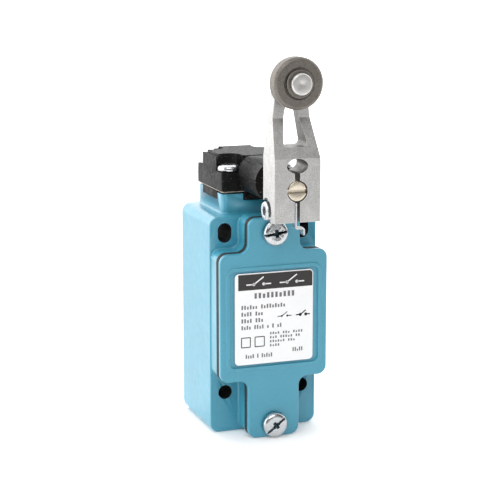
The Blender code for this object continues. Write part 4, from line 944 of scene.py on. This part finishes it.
def shank(name, radius, length, pitch):
    """A threaded shank that hangs below the origin: the ridges are turned, one per pitch."""
    profile = [(0, 0), (radius, 0)]
    count = int(length / pitch)
    for index in range(count):
        top = -index * pitch
        profile += [(radius, top - 0.1 * pitch), (0.84 * radius, top - 0.5 * pitch)]
        profile.append((radius, top - 0.9 * pitch))
    profile += [(0.7 * radius, -length), (0, -length)]
    return turned(name, profile, (0, 0, 0), UP, 32)


def build_screw(node, head_radius, head_height, towards, turn, slot_length=0.0):
    """A screw in its CAD node's place, with its recess turned by some degrees."""
    low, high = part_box(node)
    centre = (low + high) / 2
    length_axis = 1 if abs(towards.y) else 2
    total = high[length_axis] - low[length_axis]
    tip = Vector(centre)
    tip[length_axis] = high[length_axis] if towards[length_axis] < 0 else low[length_axis]
    length = total - head_height
    screw = screw_head(f"{node}_plated", head_radius, head_height - CROWN_LIFT, slot_length)
    join(screw, shank("shank", SHANK_SHARE * head_radius, length, THREAD_PITCH))
    seat = tip + towards * length
    place = Matrix.Translation(seat) @ towards.to_track_quat("Z", "Y").to_matrix().to_4x4()
    turned_place = place @ Matrix.Rotation(math.radians(turn), 4, "Z")
    back_to_origin = turned_place.inverted()
    screw.data.transform(turned_place)

    def in_recess(centre, normal):
        """True on the recess's walls and floors, and not on the crown round it."""
        near = back_to_origin @ centre
        if not 0 < near.z < 0.9 * head_height or near.xy.length > 0.7 * head_radius:
            return False
        facing_up = (back_to_origin.to_3x3() @ normal).z > 0.9
        return not (facing_up and near.z > 0.85 * head_height)

    show(screw, node, 0.08 * MM, 2, 50)
    # painted shade: the cross recess and the inner part of the driver slot are coloured dark blue-green
    paint_faces(screw, "recess", in_recess)


def build_screws():
    for name, turn in (("top", 8), ("bottom", 38)):
        low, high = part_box(f"cover_screw_{name}")
        radius = (high.x - low.x) / 2
        build_screw(f"cover_screw_{name}", radius, COVER_SCREW_HEAD, FORWARD, turn, 2 * radius)
    turns = {"front_left": 25, "front_right": 50, "back_left": 10, "back_right": 70}
    for name, turn in turns.items():
        low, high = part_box(f"head_screw_{name}")
        build_screw(f"head_screw_{name}", (high.x - low.x) / 2, HEAD_SCREW_HEAD, UP, turn)


# Head


def head_pocket_outline(sign_x, sign_y):
    """A corner pocket, round behind the screw head: square to the front face, and round to the others."""
    wall = HEAD_HALF - POCKET_SIDE
    outer = HEAD_HALF + OVERLAP
    start = math.asin((wall - SCREW_REACH) / POCKET_RADIUS)
    end = -math.pi if sign_y < 0 else -1.5 * math.pi - start
    steps = 3 * CORNER_STEPS
    angles = [start + (end - start) * step / steps for step in range(steps + 1)]
    centre = Vector((SCREW_REACH, SCREW_REACH))
    arc = [centre + POCKET_RADIUS * Vector((math.cos(a), math.sin(a))) for a in angles]
    corner = [(arc[-1].x, outer), (outer, outer), (outer, wall)]
    return [Vector((sign_x * u, HEAD_Y + sign_y * v)) for u, v in arc + corner]


def build_boss():
    """The boss, with a narrow root that stays clear of the corner pockets."""
    root = SCREW_REACH - POCKET_RADIUS - EDGE_INSET
    step = OVERLAP - 2 * EDGE_INSET
    length = OVERLAP + HEAD_FRONT - HEAD_LOW.y
    profile = [(0, 0), (root, 0), (root, step), (BOSS_RADIUS, step), (BOSS_RADIUS, length), (0, length)]
    return turned("boss", profile, (0, HEAD_FRONT + OVERLAP, SHAFT_Z), FORWARD)


def build_fairing():
    """The cone round the boss's root, kept within the head's height."""
    length = BOSS_CONE_LENGTH + EDGE_INSET
    small_end = BOSS_RADIUS - EDGE_INSET
    taper = (BOSS_BASE_RADIUS - small_end) / BOSS_CONE_LENGTH
    profile = [(0, 0), (BOSS_BASE_RADIUS + taper * EDGE_INSET, 0), (small_end, length), (0, length)]
    fairing = turned("fairing", profile, (0, HEAD_FRONT + EDGE_INSET, SHAFT_Z), FORWARD)
    reach = 2 * BOSS_BASE_RADIUS
    front = HEAD_FRONT - length
    back = HEAD_FRONT + OVERLAP
    top = HEAD_HIGH.z - EDGE_INSET
    bottom = HEAD_BOTTOM + EDGE_INSET
    above = box("above_fairing", (-reach, front, top), (reach, back, top + reach))
    below = box("below_fairing", (-reach, front, bottom - reach), (reach, back, bottom))
    cut(fairing, above, below)
    return fairing


def build_head():
    head = prism("head_moulding", head_square(HEAD_HALF, HEAD_CORNER), "Z", HEAD_BOTTOM, HEAD_TOP)
    join(head, prism("pad", head_square(PAD_HALF, PAD_CORNER), "Z", HEAD_TOP - OVERLAP, HEAD_HIGH.z))
    join(head, *key_boxes("key", HEAD_BOTTOM + OVERLAP, 0))
    top = HEAD_HIGH.z + OVERLAP
    pockets = [head_pocket_outline(x, y) for _, x, y in screw_corners()]
    cut(head, *[prism("pocket", outline, "Z", HEAD_SCREW_SEAT, top) for outline in pockets])
    join(head, build_boss(), build_fairing())
    holes = []
    for _, x, y in screw_corners():
        centre = (x * SCREW_REACH, HEAD_Y + y * SCREW_REACH, HEAD_BOTTOM - OVERLAP)
        depth = HEAD_SCREW_SEAT - HEAD_BOTTOM + 2 * OVERLAP
        holes.append(rod("screw_hole", HEAD_SCREW_BORE, depth, centre, UP))
    base = (0, HEAD_Y, HEAD_BOTTOM - OVERLAP)
    holes.append(rod("cap_bore", CAP_BORE, SHAFT_Z - HEAD_BOTTOM, base, UP))
    bore_back = SHAFT_HIGH.y + CAM_ROOM
    bore = (0, bore_back, SHAFT_Z)
    holes.append(rod("bore", BOSS_MOUTH_RADIUS, bore_back - HEAD_LOW.y + OVERLAP, bore, FORWARD))
    cut(head, *holes)
    show(head, "head", 0.25 * MM)


def build_head_gasket():
    """A sheet under the head whose pressed-out edge shows as a pale line along the joint."""
    low, high = HEAD_GASKET_LOW, HEAD_GASKET_HIGH
    outline = rectangle(low.x, high.x, low.y, high.y, HEAD_SEAL_CORNER)
    sheet = prism("head_seal", outline, "Z", low.z, high.z)
    bead_low = HEAD_BOTTOM - BEAD_BELOW
    bead_high = HEAD_BOTTOM + BEAD_ABOVE
    bead = prism("head_seal_edge", head_square(BEAD_OUTER, 0.5 * MM), "Z", bead_low, bead_high)
    hole = head_square(BEAD_INNER, 0.4 * MM)
    cut(bead, prism("inside", hole, "Z", bead_low - OVERLAP, bead_high + OVERLAP))
    cut(sheet, rod("bore", NECK_BORE, 4 * OVERLAP, (0, HEAD_Y, low.z - OVERLAP), UP))
    show(sheet, "head_gasket")
    bead.data.materials.append(MATERIALS["gasket_card"])
    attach(bead, BODY_OF["head_gasket"])


def build_shaft_seal():
    """A lip seal: a ring with a raised lip round the shaft and a garter groove."""
    length = SEAL_HIGH.y - SEAL_LOW.y
    outer = (SEAL_HIGH.x - SEAL_LOW.x) / 2
    inner = SHAFT_RADIUS + 0.1 * MM
    lip = 0.4 * MM
    groove = 0.5 * MM
    profile = [
        (inner + lip, 0),
        (outer, 0),
        (outer, length),
        (outer - 0.3 * MM, length),
        (outer - groove, length - groove),
        (inner + lip / 2, length - groove),
        (inner, length - lip / 4),
        (inner + lip, length - 3 * lip),
        (inner + lip, 0),
    ]
    show(turned("shaft_lip_seal", profile, (0, SEAL_HIGH.y, SHAFT_Z), FORWARD), "shaft_seal")


# Lever and what it carries


def lever_outline():
    drop = ROLLER_Z - BLOCK_TOP
    start = math.atan2(-drop, BLOCK_HALF) + math.acos(ARM_END_RADIUS / math.hypot(BLOCK_HALF, drop))
    steps = 5 * CORNER_STEPS
    angles = [start + (math.pi - 2 * start) * step / steps for step in range(steps + 1)]
    end = [(ARM_END_RADIUS * math.cos(a), ROLLER_Z + ARM_END_RADIUS * math.sin(a)) for a in angles]
    right = [(BLOCK_HALF, LEVER_LOW.z), (BLOCK_HALF, BLOCK_TOP)]
    left = [(-BLOCK_HALF, BLOCK_TOP), (-BLOCK_HALF, LEVER_LOW.z)]
    return right + end + left


def is_lever_opening(centre, normal):
    """True on the walls of the window, the oval hole and the slit, which get a darker painted shade."""
    inside = abs(centre.x) < WINDOW_WIDE + EDGE_INSET and centre.z < WINDOW_TOP + EDGE_INSET
    above_shaft = centre.z > SHAFT_Z + SHAFT_RADIUS
    return inside and above_shaft and abs(normal.y) < 0.3


def build_lever():
    front, back = LEVER_LOW.y, LEVER_HIGH.y
    arm_front = back - ARM_DEPTH
    lever = prism("lever_casting", lever_outline(), "Y", front, back)
    top = LEVER_HIGH.z + OVERLAP
    past_front, past_back = front - OVERLAP, back + OVERLAP
    slope = [(past_front, BLOCK_TOP), (front, BLOCK_TOP), (arm_front, SLOPE_TOP), (arm_front, top)]
    slope.append((past_front, top))
    reach = BLOCK_HALF + OVERLAP
    cut(lever, prism("slope", slope, "X", -reach, reach))
    corners = [(-WINDOW_WIDE, WINDOW_BOTTOM), (WINDOW_WIDE, WINDOW_BOTTOM)]
    corners += [(WINDOW_NARROW, WINDOW_TOP), (-WINDOW_NARROW, WINDOW_TOP)]
    window = rounded([(u, v, WINDOW_CORNER) for u, v in corners])
    oval = ellipse(0, OVAL_Z, OVAL_HALF_WIDTH, OVAL_HALF_HEIGHT)
    depth = past_back - past_front
    seat_x = CLAMP_SEAT_DEPTH - BLOCK_HALF
    clamp = (CLAMP_HIGH.x + RUNNING_GAP, CLAMP_Y, CLAMP_Z)
    cut(
        lever,
        prism("window", window, "Y", past_front, past_back),
        prism("oval", oval, "Y", past_front, past_back),
        rod("bore", SHAFT_RADIUS + RUNNING_GAP, depth, (0, past_back, SHAFT_Z), FORWARD),
        box("slit", (-SLIT_HALF, past_front, LEVER_LOW.z - OVERLAP), (SLIT_HALF, past_back, OVAL_Z)),
        rod("pin_hole", PIN_RADIUS + RUNNING_GAP, depth, (0, past_back, ROLLER_Z), FORWARD),
        rod("clamp_seat", CLAMP_SEAT_RADIUS, CLAMP_SEAT_DEPTH + OVERLAP, (seat_x, CLAMP_Y, CLAMP_Z), LEFT),
        rod("clamp_hole", CLAMP_RADIUS + RUNNING_GAP, clamp[0] - seat_x + OVERLAP, clamp, LEFT),
    )
    show(lever, "lever_arm", LEVER_EDGE, 3, 22)
    # painted shade: the opening walls get a darker grey than the rest of the lever
    paint_faces(lever, "opening_shade_casting", is_lever_opening)


def build_shaft():
    """The shaft's slotted end, with a turned chamfer, and the rest of it back to the cam's tang."""
    low, high = SHAFT_LOW, SHAFT_HIGH
    back = high.y - TANG_LENGTH
    length = back - low.y
    chamfer = 0.25 * MM
    profile = [(0, 0), (SHAFT_RADIUS, 0), (SHAFT_RADIUS, length - chamfer)]
    profile += [(SHAFT_RADIUS - chamfer, length), (0, length)]
    shaft = turned("shaft_bar", profile, (0, back, SHAFT_Z), FORWARD)
    core = SHAFT_RADIUS - GROOVE_DEPTH
    tang_low = (-core, back - OVERLAP, SHAFT_Z - TANG_HALF)
    join(shaft, box("tang", tang_low, (core, high.y, SHAFT_Z + TANG_HALF)))
    reach = SHAFT_RADIUS + OVERLAP
    slot_low = (-reach, low.y - OVERLAP, SHAFT_Z - SHAFT_SLOT_HALF)
    slot = box("slot", slot_low, (reach, low.y + SHAFT_SLOT_DEPTH, SHAFT_Z + SHAFT_SLOT_HALF))
    groove_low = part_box("shaft_ring")[0].y - RUNNING_GAP
    groove_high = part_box("shaft_ring")[1].y + RUNNING_GAP
    width = groove_high - groove_low
    groove = ring("groove", core, reach, width, (0, groove_high, SHAFT_Z), FORWARD)
    cut(shaft, slot, groove)
    show(shaft, "shaft", 0.1 * MM)


def build_clamp_screw():
    """A socket screw across the slit, seen end on from the left."""
    face = CLAMP_LOW.x
    seat = face + CLAMP_HEAD_HEIGHT
    tip = CLAMP_HIGH.x
    edge = 0.35 * MM
    full = tip - face
    shank_length = tip - seat
    profile = [(0, 0), (CLAMP_RADIUS, 0), (CLAMP_RADIUS, shank_length), (CLAMP_HEAD_RADIUS, shank_length)]
    profile += [(CLAMP_HEAD_RADIUS, full - edge), (CLAMP_HEAD_RADIUS - edge, full), (0, full)]
    screw = turned("socket_screw", profile, (tip, CLAMP_Y, CLAMP_Z), LEFT)
    corner = CLAMP_HEX / math.sqrt(3)
    socket = ellipse(CLAMP_Y, CLAMP_Z, corner, corner, 6)
    cut(screw, prism("socket", socket, "X", face - OVERLAP, face + 0.8 * CLAMP_HEAD_HEIGHT))
    show(screw, "lever_clamp_screw", 0.12 * MM)


def build_roller():
    """A pressed wheel with crisp chamfers, a shallow turned band at the rim and a bored hub."""
    width = ROLLER_HIGH.y - ROLLER_LOW.y
    bore = PIN_RADIUS + RUNNING_GAP
    rim = ROLLER_RADIUS - ROLLER_CHAMFER
    hub = WASHER_RADIUS + 0.5 * MM
    step = 0.25 * MM
    profile = [
        (bore, step),
        (hub, step),
        (hub + step, 0),
        (rim, 0),
        (ROLLER_RADIUS, ROLLER_CHAMFER),
        (ROLLER_RADIUS, width - ROLLER_CHAMFER),
        (rim, width),
        (hub + step, width),
        (hub, width - step),
        (bore, width - step),
        (bore, step),
    ]
    roller = turned("roller_wheel", profile, (0, ROLLER_HIGH.y, ROLLER_Z), FORWARD, 2 * ROUND_STEPS)
    show(roller, "roller", 0.12 * MM, 2, 20)


def build_roller_pin():
    """A rivet with a broad flat head, a bright turned rim and a faint centre mark."""
    head_back = PIN_LOW.y + PIN_HEAD_HEIGHT
    tail_back = PIN_HIGH.y
    head = tail_back - head_back
    face = head + PIN_HEAD_HEIGHT
    edge = 0.45 * MM
    profile = [
        (0, 0),
        (PIN_TAIL_RADIUS - edge, 0),
        (PIN_TAIL_RADIUS, edge),
        (PIN_TAIL_RADIUS, PIN_TAIL_HEIGHT),
        (PIN_RADIUS, PIN_TAIL_HEIGHT),
        (PIN_RADIUS, head),
        (PIN_HEAD_RADIUS, head),
        (PIN_HEAD_RADIUS, face - edge),
        (PIN_HEAD_RADIUS - edge, face),
        (0.9 * MM, face),
        (0.7 * MM, face - 0.05 * MM),
        (0, face - 0.05 * MM),
    ]
    pin = turned("rivet_pin", profile, (0, tail_back, ROLLER_Z), FORWARD)
    show(pin, "roller_pin", 0.1 * MM, 2, 25, "pin_steel")


def build_roller_washers():
    bore = PIN_RADIUS + 0.15 * MM
    for node, low, high in (
        ("roller_spacer", SPACER_LOW, SPACER_HIGH),
        ("roller_washer", WASHER_LOW, WASHER_HIGH),
    ):
        length = high.y - low.y
        washer = ring(f"{node}_turned", bore, WASHER_RADIUS, length, (0, high.y, ROLLER_Z), FORWARD)
        show(washer, node, 0.1 * MM, finish="sintered_steel")


# Springs


def coil(name, node, turns):
    """A wound wire that fills its CAD node's box, with its last turn at each end drawn close."""
    low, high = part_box(node)
    centre = (low + high) / 2
    radius = (high.x - low.x) / 2 - SPRING_WIRE
    bottom = low.z + SPRING_WIRE
    rise = high.z - low.z - 2 * SPRING_WIRE
    steps = turns * ROUND_STEPS // 2
    shape = bmesh.new()
    loops = []
    for step in range(steps + 1):
        share = step / steps
        angle = 2 * math.pi * turns * share
        height = bottom + rise * (share - math.sin(2 * math.pi * share) / (4 * math.pi))
        out = Vector((math.cos(angle), math.sin(angle), 0))
        place = Vector((centre.x, centre.y, height)) + radius * out
        section = [2 * math.pi * side / WIRE_SIDES for side in range(WIRE_SIDES)]
        loops.append(
            [shape.verts.new(place + SPRING_WIRE * (out * math.cos(s) + UP * math.sin(s))) for s in section]
        )
    for first, second in zip(loops, loops[1:]):
        for side in range(WIRE_SIDES):
            after = (side + 1) % WIRE_SIDES
            shape.faces.new([first[side], first[after], second[after], second[side]])
    shape.faces.new(loops[0])
    shape.faces.new(loops[-1])
    return mesh_object(name, shape)


def build_springs():
    """The two compression springs, each drawn as a coil that fills its CAD node's box."""
    for node, slide, turns in (
        ("plunger_spring", "plunger_slide", PLUNGER_SPRING_TURNS),
        ("contact_spring", "contact_slide", CONTACT_SPRING_TURNS),
    ):
        spring = show(coil(f"{node}_coil", node, turns), node)
        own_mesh(spring)


# Pieces kept from the frame


def finish_kept_nodes():
    """Every CAD node that still shows gets its procedural finish."""
    for node, piece in frame["nodes"].items():
        if piece.hide_render:
            continue
        piece.data.materials.clear()
        piece.data.materials.append(MATERIALS[SLOT_OF[node]])


# Studio


def look_at(thing, target):
    thing.rotation_euler = (Vector(target) - thing.location).to_track_quat("-Z", "Y").to_euler()


def soft_light(name, place, target, size, power, colour=(1, 1, 1)):
    data = bpy.data.lights.new(name, "AREA")
    data.shape = "RECTANGLE"
    data.size, data.size_y = size
    data.energy = power
    data.color = colour
    made = bpy.data.objects.new(name, data)
    made.location = place
    bpy.context.scene.collection.objects.link(made)
    look_at(made, target)


def build_camera(aim):
    azimuth = math.radians(CAMERA_AZIMUTH)
    elevation = math.radians(CAMERA_ELEVATION)
    back = Vector(
        (
            math.sin(azimuth) * math.cos(elevation),
            -math.cos(azimuth) * math.cos(elevation),
            math.sin(elevation),
        )
    )
    data = bpy.data.cameras.new("camera")
    data.sensor_width = SENSOR_WIDTH
    data.lens = CAMERA_LENS
    camera = bpy.data.objects.new("camera", data)
    camera.location = aim + back * CAMERA_DISTANCE
    bpy.context.scene.collection.objects.link(camera)
    look_at(camera, aim)
    bpy.context.scene.camera = camera


def build_floor():
    made = Nodes("floor_sheet")
    grain = made.clouds(40 * MM)
    made.colour(made.mix(grain, (0.88, 0.88, 0.88), (0.90, 0.90, 0.90)))
    made.roughness(made.ramp(made.noise(5 * MM), 0.7, 0.8))
    made.set(Emission_Color=(1, 1, 1, 1), Emission_Strength=FLOOR_GLOW)
    shape = bmesh.new()
    level = HOUSING_LOW.z - FLOOR_GAP
    outline = rectangle(-FLOOR_REACH, FLOOR_REACH, -FLOOR_REACH, FLOOR_REACH)
    shape.faces.new([shape.verts.new((x, y, level)) for x, y in outline])
    floor = mesh_object("floor", shape)
    floor.data.materials.append(made.material)


def studio_world(front, back):
    """A bright sweep behind the object that falls off to a dim room in front of it."""
    world = bpy.data.worlds.new("studio")
    world.use_nodes = True
    nodes, links = world.node_tree.nodes, world.node_tree.links
    direction = nodes.new("ShaderNodeTexCoord").outputs["Generated"]
    split = nodes.new("ShaderNodeSeparateXYZ")
    fall = nodes.new("ShaderNodeMapRange")
    fall.interpolation_type = "SMOOTHSTEP"
    fall.inputs["From Min"].default_value = -0.35
    fall.inputs["From Max"].default_value = 0.25
    fall.inputs["To Min"].default_value = front
    fall.inputs["To Max"].default_value = back
    links.new(direction, split.inputs[0])
    links.new(split.outputs["Y"], fall.inputs["Value"])
    background = nodes["Background"]
    background.inputs["Color"].default_value = (1, 1, 1, 1)
    links.new(fall.outputs["Result"], background.inputs["Strength"])
    return world


def build_studio():
    scene = bpy.context.scene
    scene.view_settings.view_transform = "Standard"
    scene.world = studio_world(FRONT_LIGHT, BACK_LIGHT)
    aim = Vector((0, HEAD_Y, 20 * MM))
    soft_light("front_box", (-0.25, -0.75, 0.80), aim, (1.0, 0.7), 5.8)
    soft_light("fill_box", (0.36, -0.98, -0.05), aim, (0.7, 0.9), 0.7)
    soft_light("left_box", (-0.80, -0.12, 0.22), aim, (0.35, 0.7), 1.5)


build_housing()
build_gasket()
build_cover()
build_nameplate()
build_screws()
build_head()
build_head_gasket()
build_shaft_seal()
build_shaft()
build_lever()
build_clamp_screw()
build_roller()
build_roller_pin()
build_roller_washers()
build_springs()
finish_kept_nodes()
build_floor()
build_studio()
build_camera(CAMERA_AIM)
